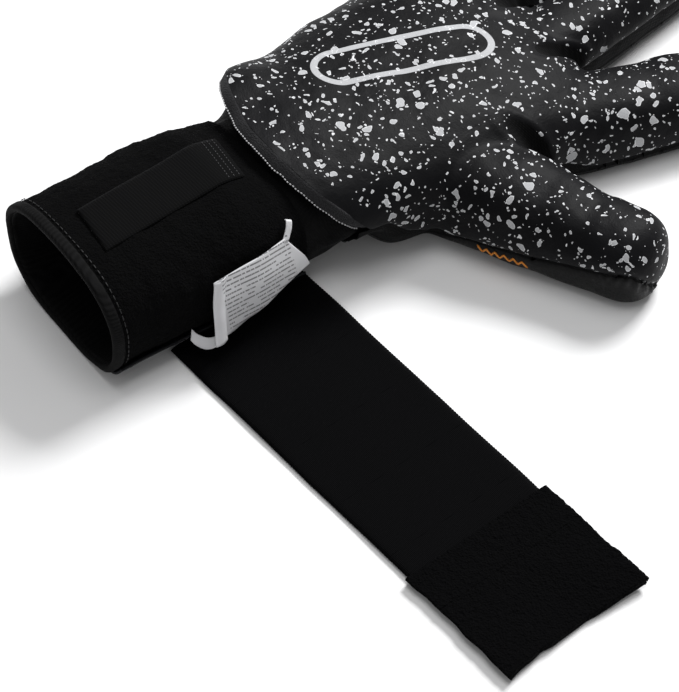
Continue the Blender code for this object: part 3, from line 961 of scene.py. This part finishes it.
FOAM_PART, GUSSET_PART, PALM_PART, WEB_PART = 0, 10, 20, 30
LAYER_NAMES = {FOAM_PART: "back", GUSSET_PART: "gusset", PALM_PART: "palm"}


# A triangle's label is its layer plus this many times its segment.
SEGMENT_STEP = 1000
TEXTILE_END_Y = -49.3
REST_HEIGHT = 0.3


def soft_shape(points, triangles):
    """Puffs up the foam, presses in the finger creases and flattens the face the glove rests on."""
    normals = vertex_normals(points, triangles)
    top = smooth(normals[:, 2], 0.1, 0.8)
    swell = np.zeros(len(points))
    for depth, size, seed in ((0.9, 26.0, 1), (0.45, 11.0, 2), (0.18, 4.5, 3)):
        swell += depth * value_noise(points, size, seed)
    crease = np.zeros(len(points))
    for name, (widths, _, _) in DIGITS.items():
        root, along, across, middle = FRAMES[name]
        distance, sideways = (points - root) @ along, np.abs((points - root) @ across)
        beside = 1.0 - smooth(sideways, widths[0] * 0.5, widths[0] * 0.62)
        for place, depth, spread in ((middle, 0.9, 4.0), (middle * 0.62, 0.5, 4.5)):
            crease += depth * beside * bump(distance - place, spread)
    points = points + normals * ((swell - crease * top)[:, None])
    points[:, 2] = soft_floor(points[:, 2], 0.45, 1.1)
    return flare(points)


def cut_layers(points, triangles):
    """Cuts the skin along its seams. Gives points, triangles and each triangle's layer."""
    labels = np.zeros(len(triangles), np.int64)
    everything = np.ones(len(triangles), bool)
    seam = points[:, 2] - foam_seam(points)
    points, triangles, labels, above = split(points, triangles, labels, seam, everything)
    labels = np.where(above, FOAM_PART, PALM_PART)
    seam = points[:, 2] - palm_seam(points)
    points, triangles, labels, above = split(points, triangles, labels, seam, labels == PALM_PART)
    labels = np.where((labels == PALM_PART) & above, GUSSET_PART, labels)
    for k, name in enumerate(WEBS):
        field = web_field(points, name)
        points, triangles, labels, inside = split(points, triangles, labels, field, labels == FOAM_PART)
        labels = np.where((labels == FOAM_PART) & inside, WEB_PART + k, labels)
    return points, triangles, labels


def cut_segments(points, triangles, labels):
    """Cuts the digits across, and adds their segments to the labels."""
    for k, name in enumerate(DIGITS):
        root, along, _, _ = FRAMES[name]
        for order, stop in enumerate(segment_starts(name)):
            mine = nearest_digit(points[triangles].mean(axis=1)) == k
            field = (points - root) @ along - stop
            points, triangles, labels, beyond = split(points, triangles, labels, field, mine)
            mine = nearest_digit(points[triangles].mean(axis=1)) == k
            chosen = mine & beyond & (labels % SEGMENT_STEP < WEB_PART)
            segment = SEGMENT_STEP * (1 + 2 * k + order)
            labels = np.where(chosen, labels % SEGMENT_STEP + segment, labels)
    return points, triangles, labels


def cut_wrist(points, triangles, labels):
    """Cuts the wrist end off: the foam on a slant, the layers under it straight across."""
    for cuts_foam in (True, False):
        field = wrist_slant(points) if cuts_foam else points[:, 1] - TEXTILE_END_Y
        chosen = (labels % SEGMENT_STEP == FOAM_PART) == cuts_foam
        points, triangles, labels, ahead = split(points, triangles, labels, field, chosen)
        keep = ahead | ((labels % SEGMENT_STEP == FOAM_PART) != cuts_foam)
        triangles, labels = triangles[keep], labels[keep]
    return points, triangles, labels


def relief(points, triangles):
    """Seam grooves, gathers and sunk webs, made after the cuts so that they are crisp."""
    normals = vertex_normals(points, triangles)
    below = points[:, 2] - foam_seam(points)
    under = points[:, 2] - palm_seam(points)
    steep = 1.0 - smooth(np.abs(normals[:, 2]), 0.8, 0.97)
    groove = 0.9 * bump(below, 1.0) + 0.5 * bump(under, 0.9)
    puff = 0.7 * smooth(below, 0.6, 3.5) * (1.0 - smooth(below, 5.0, 12.0))
    inset = 0.8 * smooth(-below, 0.0, 1.6) * smooth(under, 0.0, 1.0)
    points = points + normals * ((steep * (puff - groove - inset))[:, None])
    # Gathers round the thumb's tip, where the latex is eased into the seam.
    root, along, across, _ = FRAMES["thumb"]
    run, sideways = (points - root) @ along, (points - root) @ across
    turn = np.arctan2(sideways, run - 58.0)
    gather = smooth(run, 52.0, 62.0) * bump(below + 2.6, 2.4)
    points = points + normals * ((0.55 * gather * np.sin(turn * 26.0))[:, None])
    for name in WEBS:
        inside = web_field(points, name)
        drop = WEB_DEPTH * smooth(inside, -0.6, 3.2) - 0.7 * bump(inside + 1.3, 1.0)
        points[:, 2] -= drop * smooth(points[:, 2], 12.0, 18.0)
    points = waist(points)
    points[:, 2] = np.maximum(points[:, 2], REST_HEIGHT)
    return points


def glove_skin():
    """The whole skin with a layer and a segment for each triangle."""
    points, triangles = remeshed(*form_points())
    points = soft_shape(points, triangles)
    points, triangles, labels = cut_layers(points, triangles)
    points, triangles, labels = cut_segments(points, triangles, labels)
    points, triangles, labels = cut_wrist(points, triangles, labels)
    points = relief(points, triangles)
    return points, triangles, labels % SEGMENT_STEP, labels // SEGMENT_STEP


def segment_starts(name):
    """Where a digit's base piece and tip piece begin, measured from its root."""
    knuckle = DIGITS[name][2][0]
    middle = FRAMES[name][3]
    return knuckle - KNUCKLE_BEND, (knuckle + KNUCKLE_BEND + middle - MIDDLE_BEND) / 2.0


def attach_digit(piece):
    """Bakes the transform of a digit's piece into its mesh."""
    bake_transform(piece)


# The textile walls are cut as strips. A strip's height is its wall's plus what the seams take up.
SEAM_ALLOWANCE = 2.5
WALL_HEIGHT = 8.0
WRIST_WALL_HEIGHT = 18.5
HAND_LENGTH = 100.0
WEB_DEPTH = 5.0


def strip_cut(run, height, tallest=WALL_HEIGHT):
    """Width, length and area of a strip that makes a wall of a mean height."""
    return tallest + SEAM_ALLOWANCE, run, run * height


def digit_strip(name, order):
    """The strip round one segment of a digit. Latex covers the outer side of the thumb's tip."""
    (_, tip_width), _, (_, end) = DIGITS[name]
    first, second = segment_starts(name)
    if order == 0:
        return strip_cut(2.0 * (second - first), WALL_HEIGHT)
    run = 2.0 * (end - second - tip_width / 2.0) + math.pi * tip_width / 2.0
    return strip_cut(run / 2.0 if name == "thumb" else run, WALL_HEIGHT)


def web_cut(name):
    """An oval that goes down both sides of the crotch."""
    _, _, length, width = WEBS[name]
    width += 2.0 * WEB_DEPTH
    return width, length, width * length * math.pi / 4.0


skin_points, skin_triangles, skin_labels, skin_segments = glove_skin()
skin_normals = vertex_normals(skin_points, skin_triangles)
# Each layer's look, slot and drawn thickness.
LAYERS = (
    (FOAM_PART, FOAM, "speckled_foam", 2.2),
    (GUSSET_PART, TEXTILE, "side_textile", 0.9),
    (PALM_PART, LATEX, "palm_latex", 1.4),
)
HAND_NODES = {FOAM_PART: "backhand_foam", GUSSET_PART: "side_gusset", PALM_PART: "palm_latex"}


def skin_piece(name, chosen, look, thickness):
    """One panel of the skin as a thick sheet that is shaded as part of the whole."""
    corners = skin_triangles[chosen]
    used, local = np.unique(corners, return_inverse=True)
    sheet = thicken(skin_points[used], local.reshape(-1, 3), skin_normals[used], thickness)
    return build(name, sheet[0], sheet[1], look, sheet[2])


def make_skin():
    hand_cut = strip_cut(2.0 * HAND_LENGTH, (WRIST_WALL_HEIGHT + WALL_HEIGHT) / 2.0, WRIST_WALL_HEIGHT)
    for part, look, slot, thickness in LAYERS:
        in_layer = skin_labels == part
        node = HAND_NODES[part]
        piece = skin_piece(f"{node}_panel", in_layer & (skin_segments == 0), look, thickness)
        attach(piece, "hand")
        declare_panel(node, hand_cut)
        for k, name in enumerate(DIGITS):
            for order, segment in enumerate(("base", "tip")):
                node = f"{name}_{segment}_{LAYER_NAMES[part]}"
                in_segment = skin_segments == 1 + 2 * k + order
                piece = skin_piece(f"{node}_panel", in_layer & in_segment, look, thickness)
                declare_panel(node, digit_strip(name, order))
                attach_digit(piece)
    for k, name in enumerate(WEBS):
        piece = skin_piece(f"{name}_panel", skin_labels == WEB_PART + k, TEXTILE, LAYERS[1][3])
        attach(piece, "hand")
        declare_panel(name, web_cut(name))


def declare_panel(node, cut):
    """Hides the part that a panel replaces. The cut, the size that a textile one was cut to, is not used."""
    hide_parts(node)


make_skin()

# ---------------------------------------------------------------- foam edge at the wrist


EDGE_STOPS = 90
EDGE_SMOOTHING = 7


def wrist_edge():
    """The foam's cut edge as an even path from the far corner to the near one, with normals."""
    chosen = (skin_labels == FOAM_PART) & (skin_segments == 0)
    used = np.unique(skin_triangles[chosen])
    rim = used[np.abs(wrist_slant(skin_points[used])) < 0.9]
    angle = np.arctan2(skin_points[rim, 2] - 18.0, skin_points[rim, 0] - 1.5)
    order = rim[np.argsort(-angle)]
    stops = np.linspace(0, len(order) - 1, EDGE_STOPS)
    kernel = np.ones(EDGE_SMOOTHING) / EDGE_SMOOTHING
    margin = EDGE_SMOOTHING // 2

    def even(values):
        padded = np.concatenate((np.repeat(values[:1], margin), values, np.repeat(values[-1:], margin)))
        return np.interp(stops, np.arange(len(values)), np.convolve(padded, kernel, "valid"))

    path = np.stack([even(skin_points[order, k]) for k in range(3)], axis=1)
    out = unit(np.stack([even(skin_normals[order, k]) for k in range(3)], axis=1))
    return resample(path, 1.2, out)


def rounded_profile(width, height, radius, steps=5):
    """Points round a rounded rectangle, starting at its right side."""
    points = []
    for corner, (cx, cy) in enumerate(((1, 1), (-1, 1), (-1, -1), (1, -1))):
        for k in range(steps):
            turn = math.radians(90.0 * corner + 90.0 * k / (steps - 1))
            x = cx * (width / 2.0 - radius) + radius * math.cos(turn)
            y = cy * (height / 2.0 - radius) + radius * math.sin(turn)
            points.append((x, y))
    return points


def make_wrist_edge():
    """The cut foam's rolled edge, tilted so that it faces up and back, and its pale whipping."""
    path, out = wrist_edge()
    out = unit(out)
    tangent = unit(np.gradient(path, axis=0))
    outward = unit(np.cross(tangent, out))
    outward *= np.where(outward[:, 1:2] > 0.0, -1.0, 1.0)
    # Share of the way from the far corner to the near one, and how close to the far one.
    run = np.linspace(0.0, 1.0, len(path))[:, None]
    corner = bump(run, 0.05)
    # Across the strip: away from the hand and down. Its face looks up and away from the hand.
    slope = 0.80 - 0.25 * smooth(run, 0.55, 1.0) - 0.3 * corner
    strip = unit(outward * slope - out * 0.62)
    face = unit(np.cross(tangent, strip))
    face *= np.where((face * out).sum(axis=1, keepdims=True) < 0.0, -1.0, 1.0)
    middle = path + strip * 2.5 - face * 1.5 + out * (0.35 + 1.6 * corner)
    middle = middle + value_noise(path, 9.0, 21)[:, None] * 0.3 * face
    profile = rounded_profile(5.2, 3.2, 1.3)
    edge = swept("foam_edge_roll", middle, strip, face, profile, CUT_FOAM, ends=(0.8, 0.35))
    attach(edge, "hand")
    low = middle + strip * 2.1 + face * 1.55
    low = low + value_noise(path, 3.0, 22)[:, None] * 0.35 * strip
    places, ways, lifts = resample(low, 1.25, tangent, unit(strip + face))
    row = stitches("foam_edge_whipping", places, unit(ways), unit(lifts), 0.85, 0.26, PALE_THREAD)
    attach(row, "hand")


make_wrist_edge()

# ---------------------------------------------------------------- cuff

CUFF_X = 1.5
CUFF_MIDDLE_Z = 23.0
CUFF_MOUTH = -148.0
CUFF_END = -66.0
CUFF_LOW = 0.3
CUFF_SIDE = 35.0
CUFF_HEIGHT = 47.5
# The cuff narrows towards the hand: where, and by how much at its side and its top.
CUFF_NARROWING = (-88.0, -66.0)
SIDE_LOSS = 1.5
HEIGHT_LOSS = 5.5


def cuff_size(y):
    """Half width and height of the cuff's top at y."""
    narrow = smooth(y, *CUFF_NARROWING)
    return CUFF_SIDE - SIDE_LOSS * narrow, CUFF_HEIGHT - HEIGHT_LOSS * narrow


def cuff_section(turns, y):
    """Points round the cuff at y, with turns measured from the thumb side up over the top."""
    half, top = cuff_size(y)
    side, rise = superellipse(turns)
    x = CUFF_X + side * half
    z = (top + CUFF_LOW) / 2.0 + rise * (top - CUFF_LOW) / 2.0
    return np.stack((x, np.broadcast_to(y, x.shape), z), axis=-1)


def cuff_grid(turns, ys, lift):
    """A patch of the cuff, lifted outwards by lift millimetres."""
    turn, y = np.meshgrid(turns, ys)
    grid = cuff_section(turn, y)
    middle = np.stack((np.full_like(turn, CUFF_X), y, np.full_like(turn, CUFF_MIDDLE_Z)), axis=-1)
    out = unit((grid - middle) / np.array((CUFF_SIDE, 1.0, 23.5)) ** 2 * np.array((1.0, 0.0, 1.0)))
    wrinkle = 0.8 * value_noise(grid, 17.0, 31)
    wrinkle += 0.35 * value_noise(grid * np.array((1.0, 1.6, 1.0)), 7.0, 32)
    return grid + out * (lift + wrinkle)[..., None], out


REST_SOFTNESS = 0.35


def press_down(grid, floor=0.25):
    """The grid flattened where it would go below the floor."""
    grid = grid.copy()
    grid[..., 2] = soft_floor(grid[..., 2], floor, REST_SOFTNESS)
    return grid


def cuff_patch(name, turns, lift, thickness, look, node, fuzz):
    """One fabric panel of the cuff."""
    ys = np.linspace(CUFF_MOUTH + 3.0, CUFF_END - 1.0, 92)
    grid, out = cuff_grid(turns, ys, lift)
    tufts = value_noise(grid, 0.9, 33) + 0.7 * value_noise(grid, 2.1, 34)
    grid = grid + out * (fuzz * tufts)[..., None]
    piece = sheet_piece(name, press_down(waist(grid)), look, thickness, out)
    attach(piece, "cuff")
    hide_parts(node)


LOOP_TURNS = np.radians(np.linspace(-27.0, 256.4, 230))
STRETCH_TURNS = np.radians(np.linspace(253.0, 336.0, 60))
ROUND = np.radians(np.linspace(0.0, 360.0, 121))


def make_cuff():
    cuff_patch("cuff_loop_pile", LOOP_TURNS, 0.0, 1.3, LOOP, "cuff_loop_panel", 0.22)
    slot, node = "stretch_fabric", "cuff_stretch_panel"
    cuff_patch("cuff_stretch_knit", STRETCH_TURNS, 2.2, 0.9, STRETCH, node, 0.0)
    rows = np.linspace(CUFF_MOUTH + 1.5, -56.0, 70)
    grid, out = cuff_grid(ROUND[:-1], rows, -2.0)
    grid = grid + out * (0.5 * value_noise(grid, 5.0, 35))[..., None]
    lining = sheet_piece("cuff_lining_tube", press_down(grid, 1.2), LINING, 0.6, out, closed=True)
    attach(lining, "cuff")
    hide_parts("cuff_lining")
    make_hem()
    make_sleeve()
    make_band()


def make_hem():
    """The folded edge round the mouth, and its topstitch."""
    turns = ROUND[:-1]
    grid, out = cuff_grid(turns, np.array([CUFF_MOUTH + 2.4]), -0.9)
    path, out = grid[0], out[0]
    rings = np.array([path + np.array((0.0, a, 0.0)) + out * b for a, b in rounded_profile(4.6, 2.9, 1.3)])
    rings = press_down(rings + 0.12 * value_noise(rings, 2.5, 36)[..., None] * out)
    rows, columns = rings.shape[:2]
    faces = grid_faces(rows, columns, True)
    faces += [
        ((rows - 1) * columns + c, (rows - 1) * columns + (c + 1) % columns, (c + 1) % columns, c)
        for c in range(columns)
    ]
    points = rings.reshape(-1, 3)
    hem = build("cuff_folded_hem", points, outward_faces(points, faces), LINING)
    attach(hem, "cuff")
    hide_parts("cuff_hem")
    grid, out = cuff_grid(np.radians(np.linspace(-40.0, 220.0, 400)), np.array([CUFF_MOUTH + 5.6]), 0.35)
    places, lifts = resample(press_down(grid)[0], 2.6, out[0])
    ways = unit(np.gradient(places, axis=0))
    row = stitches("cuff_hem_topstitch", places, ways, unit(lifts), 1.9, 0.24, DARK_THREAD)
    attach(row, "cuff")
    return hem


def make_sleeve():
    """Soft sleeve that joins the cuff to the hand under the foam edge."""
    turns = ROUND[:-1]
    rows = []
    for y in np.linspace(-69.0, -43.0, 27):
        ring, out = cuff_grid(turns, np.array([y]), -1.2)
        left, right, top = (np.interp(y, HAND[:, 0], HAND[:, k]) for k in (1, 2, 3))
        side, rise = superellipse(turns)
        x = (left + right) / 2.0 + side * ((right - left) / 2.0 - 2.6)
        z = (top - 5.5) / 2.0 + rise * ((top - 5.5) / 2.0)
        hand = np.stack((x, np.full_like(x, y), z), axis=-1)
        share = float(smooth(np.array(y), -62.0, -48.0))
        rows.append(ring[0] * (1.0 - share) + hand * share)
    grid = np.array(rows)
    out = unit((grid - np.array((CUFF_X, 0.0, CUFF_MIDDLE_Z))) * np.array((1.0, 0.0, 1.0)))
    folds = 0.7 * value_noise(grid * np.array((1.0, 0.35, 1.0)), 5.0, 37)
    grid = press_down(waist(grid + out * folds[..., None]), 0.5)
    sleeve = sheet_piece("cuff_sleeve", grid, TEXTILE, 0.8, out, closed=True)
    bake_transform(sleeve)


BAND_CENTRE = (1.7, -105.0)
BAND_YAW = math.radians(-3.5)
BAND_SHEAR = 0.16
BAND_HALF_WIDTH = 11.0
BAND_HALF_LENGTH = 30.0
BAND_EDGE = 1.4


def cuff_top(x, y):
    """Height of the cuff's top surface over a point."""
    half, top = cuff_size(y)
    share = np.clip(np.abs((x - CUFF_X) / half), 0.0, 0.999)
    rise = (1.0 - share**ROUNDNESS) ** (1.0 / ROUNDNESS)
    return (top + CUFF_LOW) / 2.0 + rise * (top - CUFF_LOW) / 2.0


def band_surface(along, across, lift):
    """Points over the cuff, along the pull band from its middle and across it."""
    x = BAND_CENTRE[0] + along * math.sin(BAND_YAW) + across * math.cos(BAND_YAW)
    y = BAND_CENTRE[1] + along * math.cos(BAND_YAW) - across * (math.sin(BAND_YAW) + BAND_SHEAR)
    grid = np.stack((x, y, cuff_top(x, y)), axis=-1)
    grid[..., 2] += 0.45 * value_noise(grid, 17.0, 31) + lift
    return grid


def make_band():
    along, across = np.meshgrid(
        np.linspace(-BAND_HALF_LENGTH, BAND_HALF_LENGTH, 74),
        np.linspace(-BAND_HALF_WIDTH, BAND_HALF_WIDTH, 28),
        indexing="ij",
    )
    edge = np.maximum(
        smooth(np.abs(across), BAND_HALF_WIDTH - BAND_EDGE, BAND_HALF_WIDTH),
        smooth(np.abs(along), BAND_HALF_LENGTH - BAND_EDGE, BAND_HALF_LENGTH),
    )
    grid = band_surface(along, across, 1.15 - 0.5 * edge)
    band = sheet_piece("pull_band_tape", grid, BAND, 0.9, UPWARD)
    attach(band, "cuff")
    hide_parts("pull_band")
    for order, stop in enumerate((23.6, 25.8, 28.0)):
        across = np.linspace(BAND_EDGE - BAND_HALF_WIDTH, BAND_HALF_WIDTH - BAND_EDGE, 14)
        places = band_surface(np.full_like(across, stop), across, 1.25)
        ways = unit(np.gradient(places, axis=0))
        lifts = np.broadcast_to(UPWARD, places.shape)
        row = stitches(f"pull_band_stitching_{order + 1}", places, ways, lifts, 0.9, 0.16, GREY_THREAD)
        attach(row, "cuff")


make_cuff()

# ---------------------------------------------------------------- strap

STRAP_YAW = math.radians(4.2)
STRAP_ALONG = np.array((math.cos(STRAP_YAW), math.sin(STRAP_YAW), 0.0))
STRAP_ACROSS = np.array((-math.sin(STRAP_YAW), math.cos(STRAP_YAW), 0.0))
STRAP_HINGE = np.array(JOINTS["strap_wrap"]["pos_m"]) / MM * (1.0, 1.0, 0.0)
STRAP_JOINTS = ("strap_wrap",) + tuple(f"strap_bend_{k}" for k in range(1, 6))
HINGES = []
for joint_name in STRAP_JOINTS:
    hinge_place = np.array(JOINTS[joint_name]["pos_m"]) / MM * (1.0, 1.0, 0.0)
    HINGES.append(float((hinge_place - STRAP_HINGE) @ STRAP_ALONG))
STRAP_HALF = 29.25
TAB_HALF = 31.0
STRAP_START = -20.0
TAB_LENGTH = 49.0
STRAP_END = HINGES[4] + TAB_LENGTH


def strap_points(along, across, height):
    """Points from distances along the strap from its first hinge, across it and above the floor."""
    base = STRAP_HINGE + along[..., None] * STRAP_ALONG + across[..., None] * STRAP_ACROSS
    return base + height[..., None] * UPWARD


def blend_strap(piece):
    """Bakes the transform of a strap piece into its mesh."""
    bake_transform(piece)


def elastic_sheet(name, start, end):
    """A stretch of the ribbed elastic."""
    steps = int(round((end - start) / 0.3)) + 1
    along, across = np.meshgrid(np.linspace(start, end, steps), np.linspace(-1.0, 1.0, 40), indexing="ij")
    edge = 0.22 * value_noise(np.stack((along, 0.0 * along, np.sign(across) * 5.0), axis=-1), 14.0, 41)
    ribs = np.cos(2.0 * math.pi * (along + 0.10 * across * STRAP_HALF) / 1.2)
    width = across * (STRAP_HALF + edge * np.abs(across) + 0.10 * ribs * np.abs(across) ** 20)
    wave = 0.30 * value_noise(np.stack((along, width, 0.0 * along), axis=-1), 24.0, 42)
    thin = smooth(np.abs(across), 0.93, 1.0)
    height = 2.1 + wave + 0.09 * ribs * (1.0 - thin) - 0.6 * thin
    grid = strap_points(along, width, height)
    return sheet_piece(name, grid, ELASTIC, 1.5, UPWARD)


def make_strap():
    cuts = [STRAP_START] + [(a + b) / 2.0 for a, b in zip(HINGES[:5], HINGES[1:5])] + [HINGES[4] + 3.0]
    nodes = ("strap_root", "strap_elastic_1", "strap_elastic_2", "strap_elastic_3", "strap_elastic_4")
    for k in range(5):
        piece = elastic_sheet(f"strap_elastic_part_{k + 1}", cuts[k], cuts[k + 1])
        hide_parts(nodes[k])
        blend_strap(piece)


make_strap()

TAB_START = HINGES[4] - 3.0
TAB_MIDDLE = (HINGES[4] + HINGES[5]) / 2.0 + 2.0


def tab_sheet(name, start, end, half, low, thickness, fuzz, look):
    """A stretch of the hook tab: its backing, or the hooks on it."""
    steps = int(round((end - start) / 0.55)) + 1
    along, across = np.meshgrid(np.linspace(start, end, steps), np.linspace(-1.0, 1.0, 112), indexing="ij")
    still = 0.0 * along
    outline = 0.5 * value_noise(np.stack((along, still, np.sign(across) * 9.0), axis=-1), 7.0, 51)
    width = across * (half + outline * np.abs(across) ** 8)
    share = (along - HINGES[4]) / TAB_LENGTH
    # The end edge is slightly hollow, and the free corners lift a little.
    reach = smooth(share, 0.4, 1.0)
    ragged = value_noise(np.stack((still, width, still), axis=-1), 5.0, 52)
    bow = -2.2 * reach * (1.0 - across**2) + 0.5 * reach * ragged
    lift = 1.6 * reach * smooth(across, 0.2, 1.0) + 0.7 * reach * smooth(-across, 0.4, 1.0)
    place = np.stack((along, width, still), axis=-1)
    wave = 0.35 * value_noise(place, 16.0, 53) * smooth(share, 0.0, 0.3)
    tufts = fuzz * (value_noise(place, 0.8, 54) + 0.6 * value_noise(place, 1.9, 55))
    edge = smooth(np.abs(across), 0.975, 1.0)
    height = low + thickness + lift + wave + tufts - 0.5 * edge
    grid = strap_points(along + bow, width + 0.3 * edge * np.sign(across) * tufts, height)
    return sheet_piece(name, grid, look, thickness, UPWARD)


def make_tab():
    spans = ((TAB_START, TAB_MIDDLE), (TAB_MIDDLE, STRAP_END))
    for k, (start, end) in enumerate(spans):
        backing = tab_sheet(f"tab_backing_part_{k + 1}", start, end, TAB_HALF - 0.8, 0.9, 1.2, 0.0, ELASTIC)
        hook = tab_sheet(f"tab_hook_part_{k + 1}", start, end, TAB_HALF, 2.2, 1.5, 0.22, HOOK)
        for piece, slot, node, half in (
            (backing, "band_fabric", f"tab_backing_{k + 1}", TAB_HALF - 0.8),
            (hook, "hook_fabric", f"tab_hook_patch_{k + 1}", TAB_HALF),
        ):
            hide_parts(node)
            blend_strap(piece)


make_tab()

# ---------------------------------------------------------------- care label


def curve(points, count):
    """Evenly spaced points on a smooth curve through a few points."""
    points = np.array(points, float)
    padded = np.vstack((2 * points[0] - points[1], points, 2 * points[-1] - points[-2]))
    found = []
    for k in range(len(points) - 1):
        a, b, c, d = padded[k : k + 4]
        for t in np.linspace(0.0, 1.0, 16, endpoint=False):
            bend = (2 * a - 5 * b + 4 * c - d) * t**2 + (3 * b - a - 3 * c + d) * t**3
            found.append(0.5 * (2 * b + (c - a) * t + bend))
    found.append(points[-1])
    found = np.array(found)
    run = np.concatenate(([0.0], np.cumsum(np.linalg.norm(np.diff(found, axis=0), axis=1))))
    stops = np.linspace(0.0, run[-1], count)
    return np.stack([np.interp(stops, run, found[:, k]) for k in range(3)], axis=1)


# Places that the label's edges and strips of tape pass through.
LABEL_BOTTOM = (
    (44.2, -112.2, 12.0),
    (42.6, -98.2, 11.0),
    (41.4, -88.8, 11.0),
    (40.4, -81.8, 13.0),
    (38.8, -68.4, 18.0),
)
LABEL_TOP = ((37.4, -107.6, 34.0), (37.0, -97.0, 34.6), (36.6, -86.0, 34.6), (35.2, -76.3, 34.6))
LABEL_FOLD = (
    (45.75, -112.9, 11.65),
    (43.15, -111.6, 19.25),
    (40.55, -110.2, 27.25),
    (38.55, -108.2, 34.85),
)
LABEL_ROOT = (
    (36.9, -117.6, 10.0),
    (38.6, -116.4, 8.0),
    (41.4, -114.6, 7.6),
    (44.0, -113.0, 9.6),
    (45.4, -112.4, 12.0),
)
LABEL_TIP = (
    (35.2, -77.6, 33.6),
    (34.2, -76.0, 35.6),
    (33.2, -74.6, 37.6),
    (31.8, -73.6, 39.4),
    (30.6, -73.4, 38.8),
)
LABEL_THICKNESS = 0.3
LABEL_OUT = np.array((0.93, -0.05, 0.36))


def tape(name, line, count, side, bulge, outward):
    """A strip of the label's tape along a line, as wide as side, with a bulge along its middle."""
    wide = np.linspace(0.0, 1.0, 8)
    across = np.outer(wide, side) + np.outer(np.sin(math.pi * wide), bulge)
    grid = np.array([point + across for point in curve(line, count)])
    piece = sheet_piece(name, grid, SATIN, LABEL_THICKNESS, outward)
    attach(piece, "label")
    return piece


def make_label():
    """The label's face, its folded edge, its sewn root and the loose end by the foam edge."""
    columns, rows = 56, 34
    low, high = curve(LABEL_BOTTOM, columns), curve(LABEL_TOP, columns)
    across = np.linspace(0.0, 1.0, columns)[None, :]
    rise = np.linspace(0.0, 1.0, rows)[:, None]
    grid = low[None] * (1.0 - rise[..., None]) + high[None] * rise[..., None]
    bulge = 1.6 * np.sin(math.pi * rise) * np.sin(math.pi * (0.15 + 0.85 * across))
    under = -2.6 * (1.0 - smooth(rise, 0.0, 0.16)) ** 2 * smooth(across, 0.1, 0.4)
    out = bulge + under + 0.5 * value_noise(grid, 9.0, 61)
    grid = grid + out[..., None] * LABEL_OUT
    # The thumb-side end slants in to a corner near the top.
    end = smooth(across, 0.86, 1.0) * (1.0 - np.abs(rise - 0.35) / 0.65).clip(0.0, 1.0)
    grid[..., 1] += 1.5 * end
    label = sheet_piece("care_label_face", grid, SATIN, LABEL_THICKNESS, THUMB_SIDE)
    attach(label, "label")
    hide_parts("care_label")
    flat = (0.0, 0.0, 0.0)
    strips = [
        tape("care_label_fold", LABEL_FOLD, 30, (-0.5, 5.2, 0.3), (0.9, 0.0, 0.3), THUMB_SIDE),
        tape("care_label_root", LABEL_ROOT, 24, (-1.5, 1.5, 3.8), flat, THUMB_SIDE),
        tape("care_label_tip", LABEL_TIP, 20, (0.8, 1.9, -0.7), flat, UPWARD),
    ]


make_label()

# ---------------------------------------------------------------- printed marks on the skin

SKIN_TREE = BVHTree.FromPolygons(skin_points.tolist(), skin_triangles.tolist())


def on_skin(guess):
    """The skin point nearest to a guess, and its normal."""
    place, normal, _, _ = SKIN_TREE.find_nearest(Vector(guess))
    return np.array(place), np.array(normal)


MARK_START = (59.4, -10.4, 7.0)
MARK_END = (75.7, -3.7, 7.0)
MARK_COUNT = 11
MARK_LENGTH = 4.2
MARK_RADIUS = 0.42
MARK_LIFT = 0.02


def make_thumb_marks():
    """A plain run of slanted orange dashes on the latex band of the thumb."""
    along = FRAMES["thumb"][1]
    places, ways, lifts = [], [], []
    for k, share in enumerate(np.linspace(0.0, 1.0, MARK_COUNT)):
        place, normal = on_skin(np.array(MARK_START) * (1.0 - share) + np.array(MARK_END) * share)
        way = unit(along * 0.55 + UPWARD * (1.0 if k % 2 else -1.0))
        places.append(place + normal * MARK_LIFT)
        ways.append(unit(way - normal * (way @ normal)))
        lifts.append(normal)
    rows = (np.array(places), np.array(ways), np.array(lifts))
    marks = stitches("thumb_orange_dashes", *rows, MARK_LENGTH, MARK_RADIUS, ORANGE)
    attach_digit(marks)


make_thumb_marks()

# ---------------------------------------------------------------- studio


FLOOR_HALF = 2.0
WORLD_STRENGTH = 0.34
# Each light's name, place, target, size and power, in metres and watts.
SOFT_BOXES = (
    ("key", (-0.25, 0.85, 0.95), (0.0, 0.0, 0.0), (0.55, 0.45), 22.0),
    ("overhead", (0.1, -0.05, 1.5), (0.05, -0.05, 0.0), (0.8, 0.8), 6.0),
)


def make_floor():
    data = bpy.data.meshes.new("floor")
    corners = [(FLOOR_HALF * x, FLOOR_HALF * y, 0.0) for x, y in ((-1, -1), (1, -1), (1, 1), (-1, 1))]
    data.from_pydata(corners, [], [(0, 1, 2, 3)])
    data.materials.append(floor_look())
    floor = bpy.data.objects.new("floor", data)
    bpy.context.scene.collection.objects.link(floor)


def make_light(name, place, target, size, power):
    data = bpy.data.lights.new(name, "AREA")
    data.shape = "RECTANGLE"
    data.size, data.size_y = size
    data.energy = power
    light = bpy.data.objects.new(name, data)
    light.location = place
    light.rotation_mode = "QUATERNION"
    light.rotation_quaternion = (Vector(target) - Vector(place)).to_track_quat("-Z", "Y")
    bpy.context.scene.collection.objects.link(light)


def make_studio():
    """A pale floor under an even sky and two soft boxes."""
    make_floor()
    world = bpy.data.worlds.new("studio")
    bpy.context.scene.world = world
    world.use_nodes = True
    background = world.node_tree.nodes["Background"]
    background.inputs["Color"].default_value = (1.0, 1.0, 1.0, 1.0)
    background.inputs["Strength"].default_value = WORLD_STRENGTH
    for light in SOFT_BOXES:
        make_light(*light)
    bpy.context.scene.view_settings.view_transform = "Standard"


make_studio()
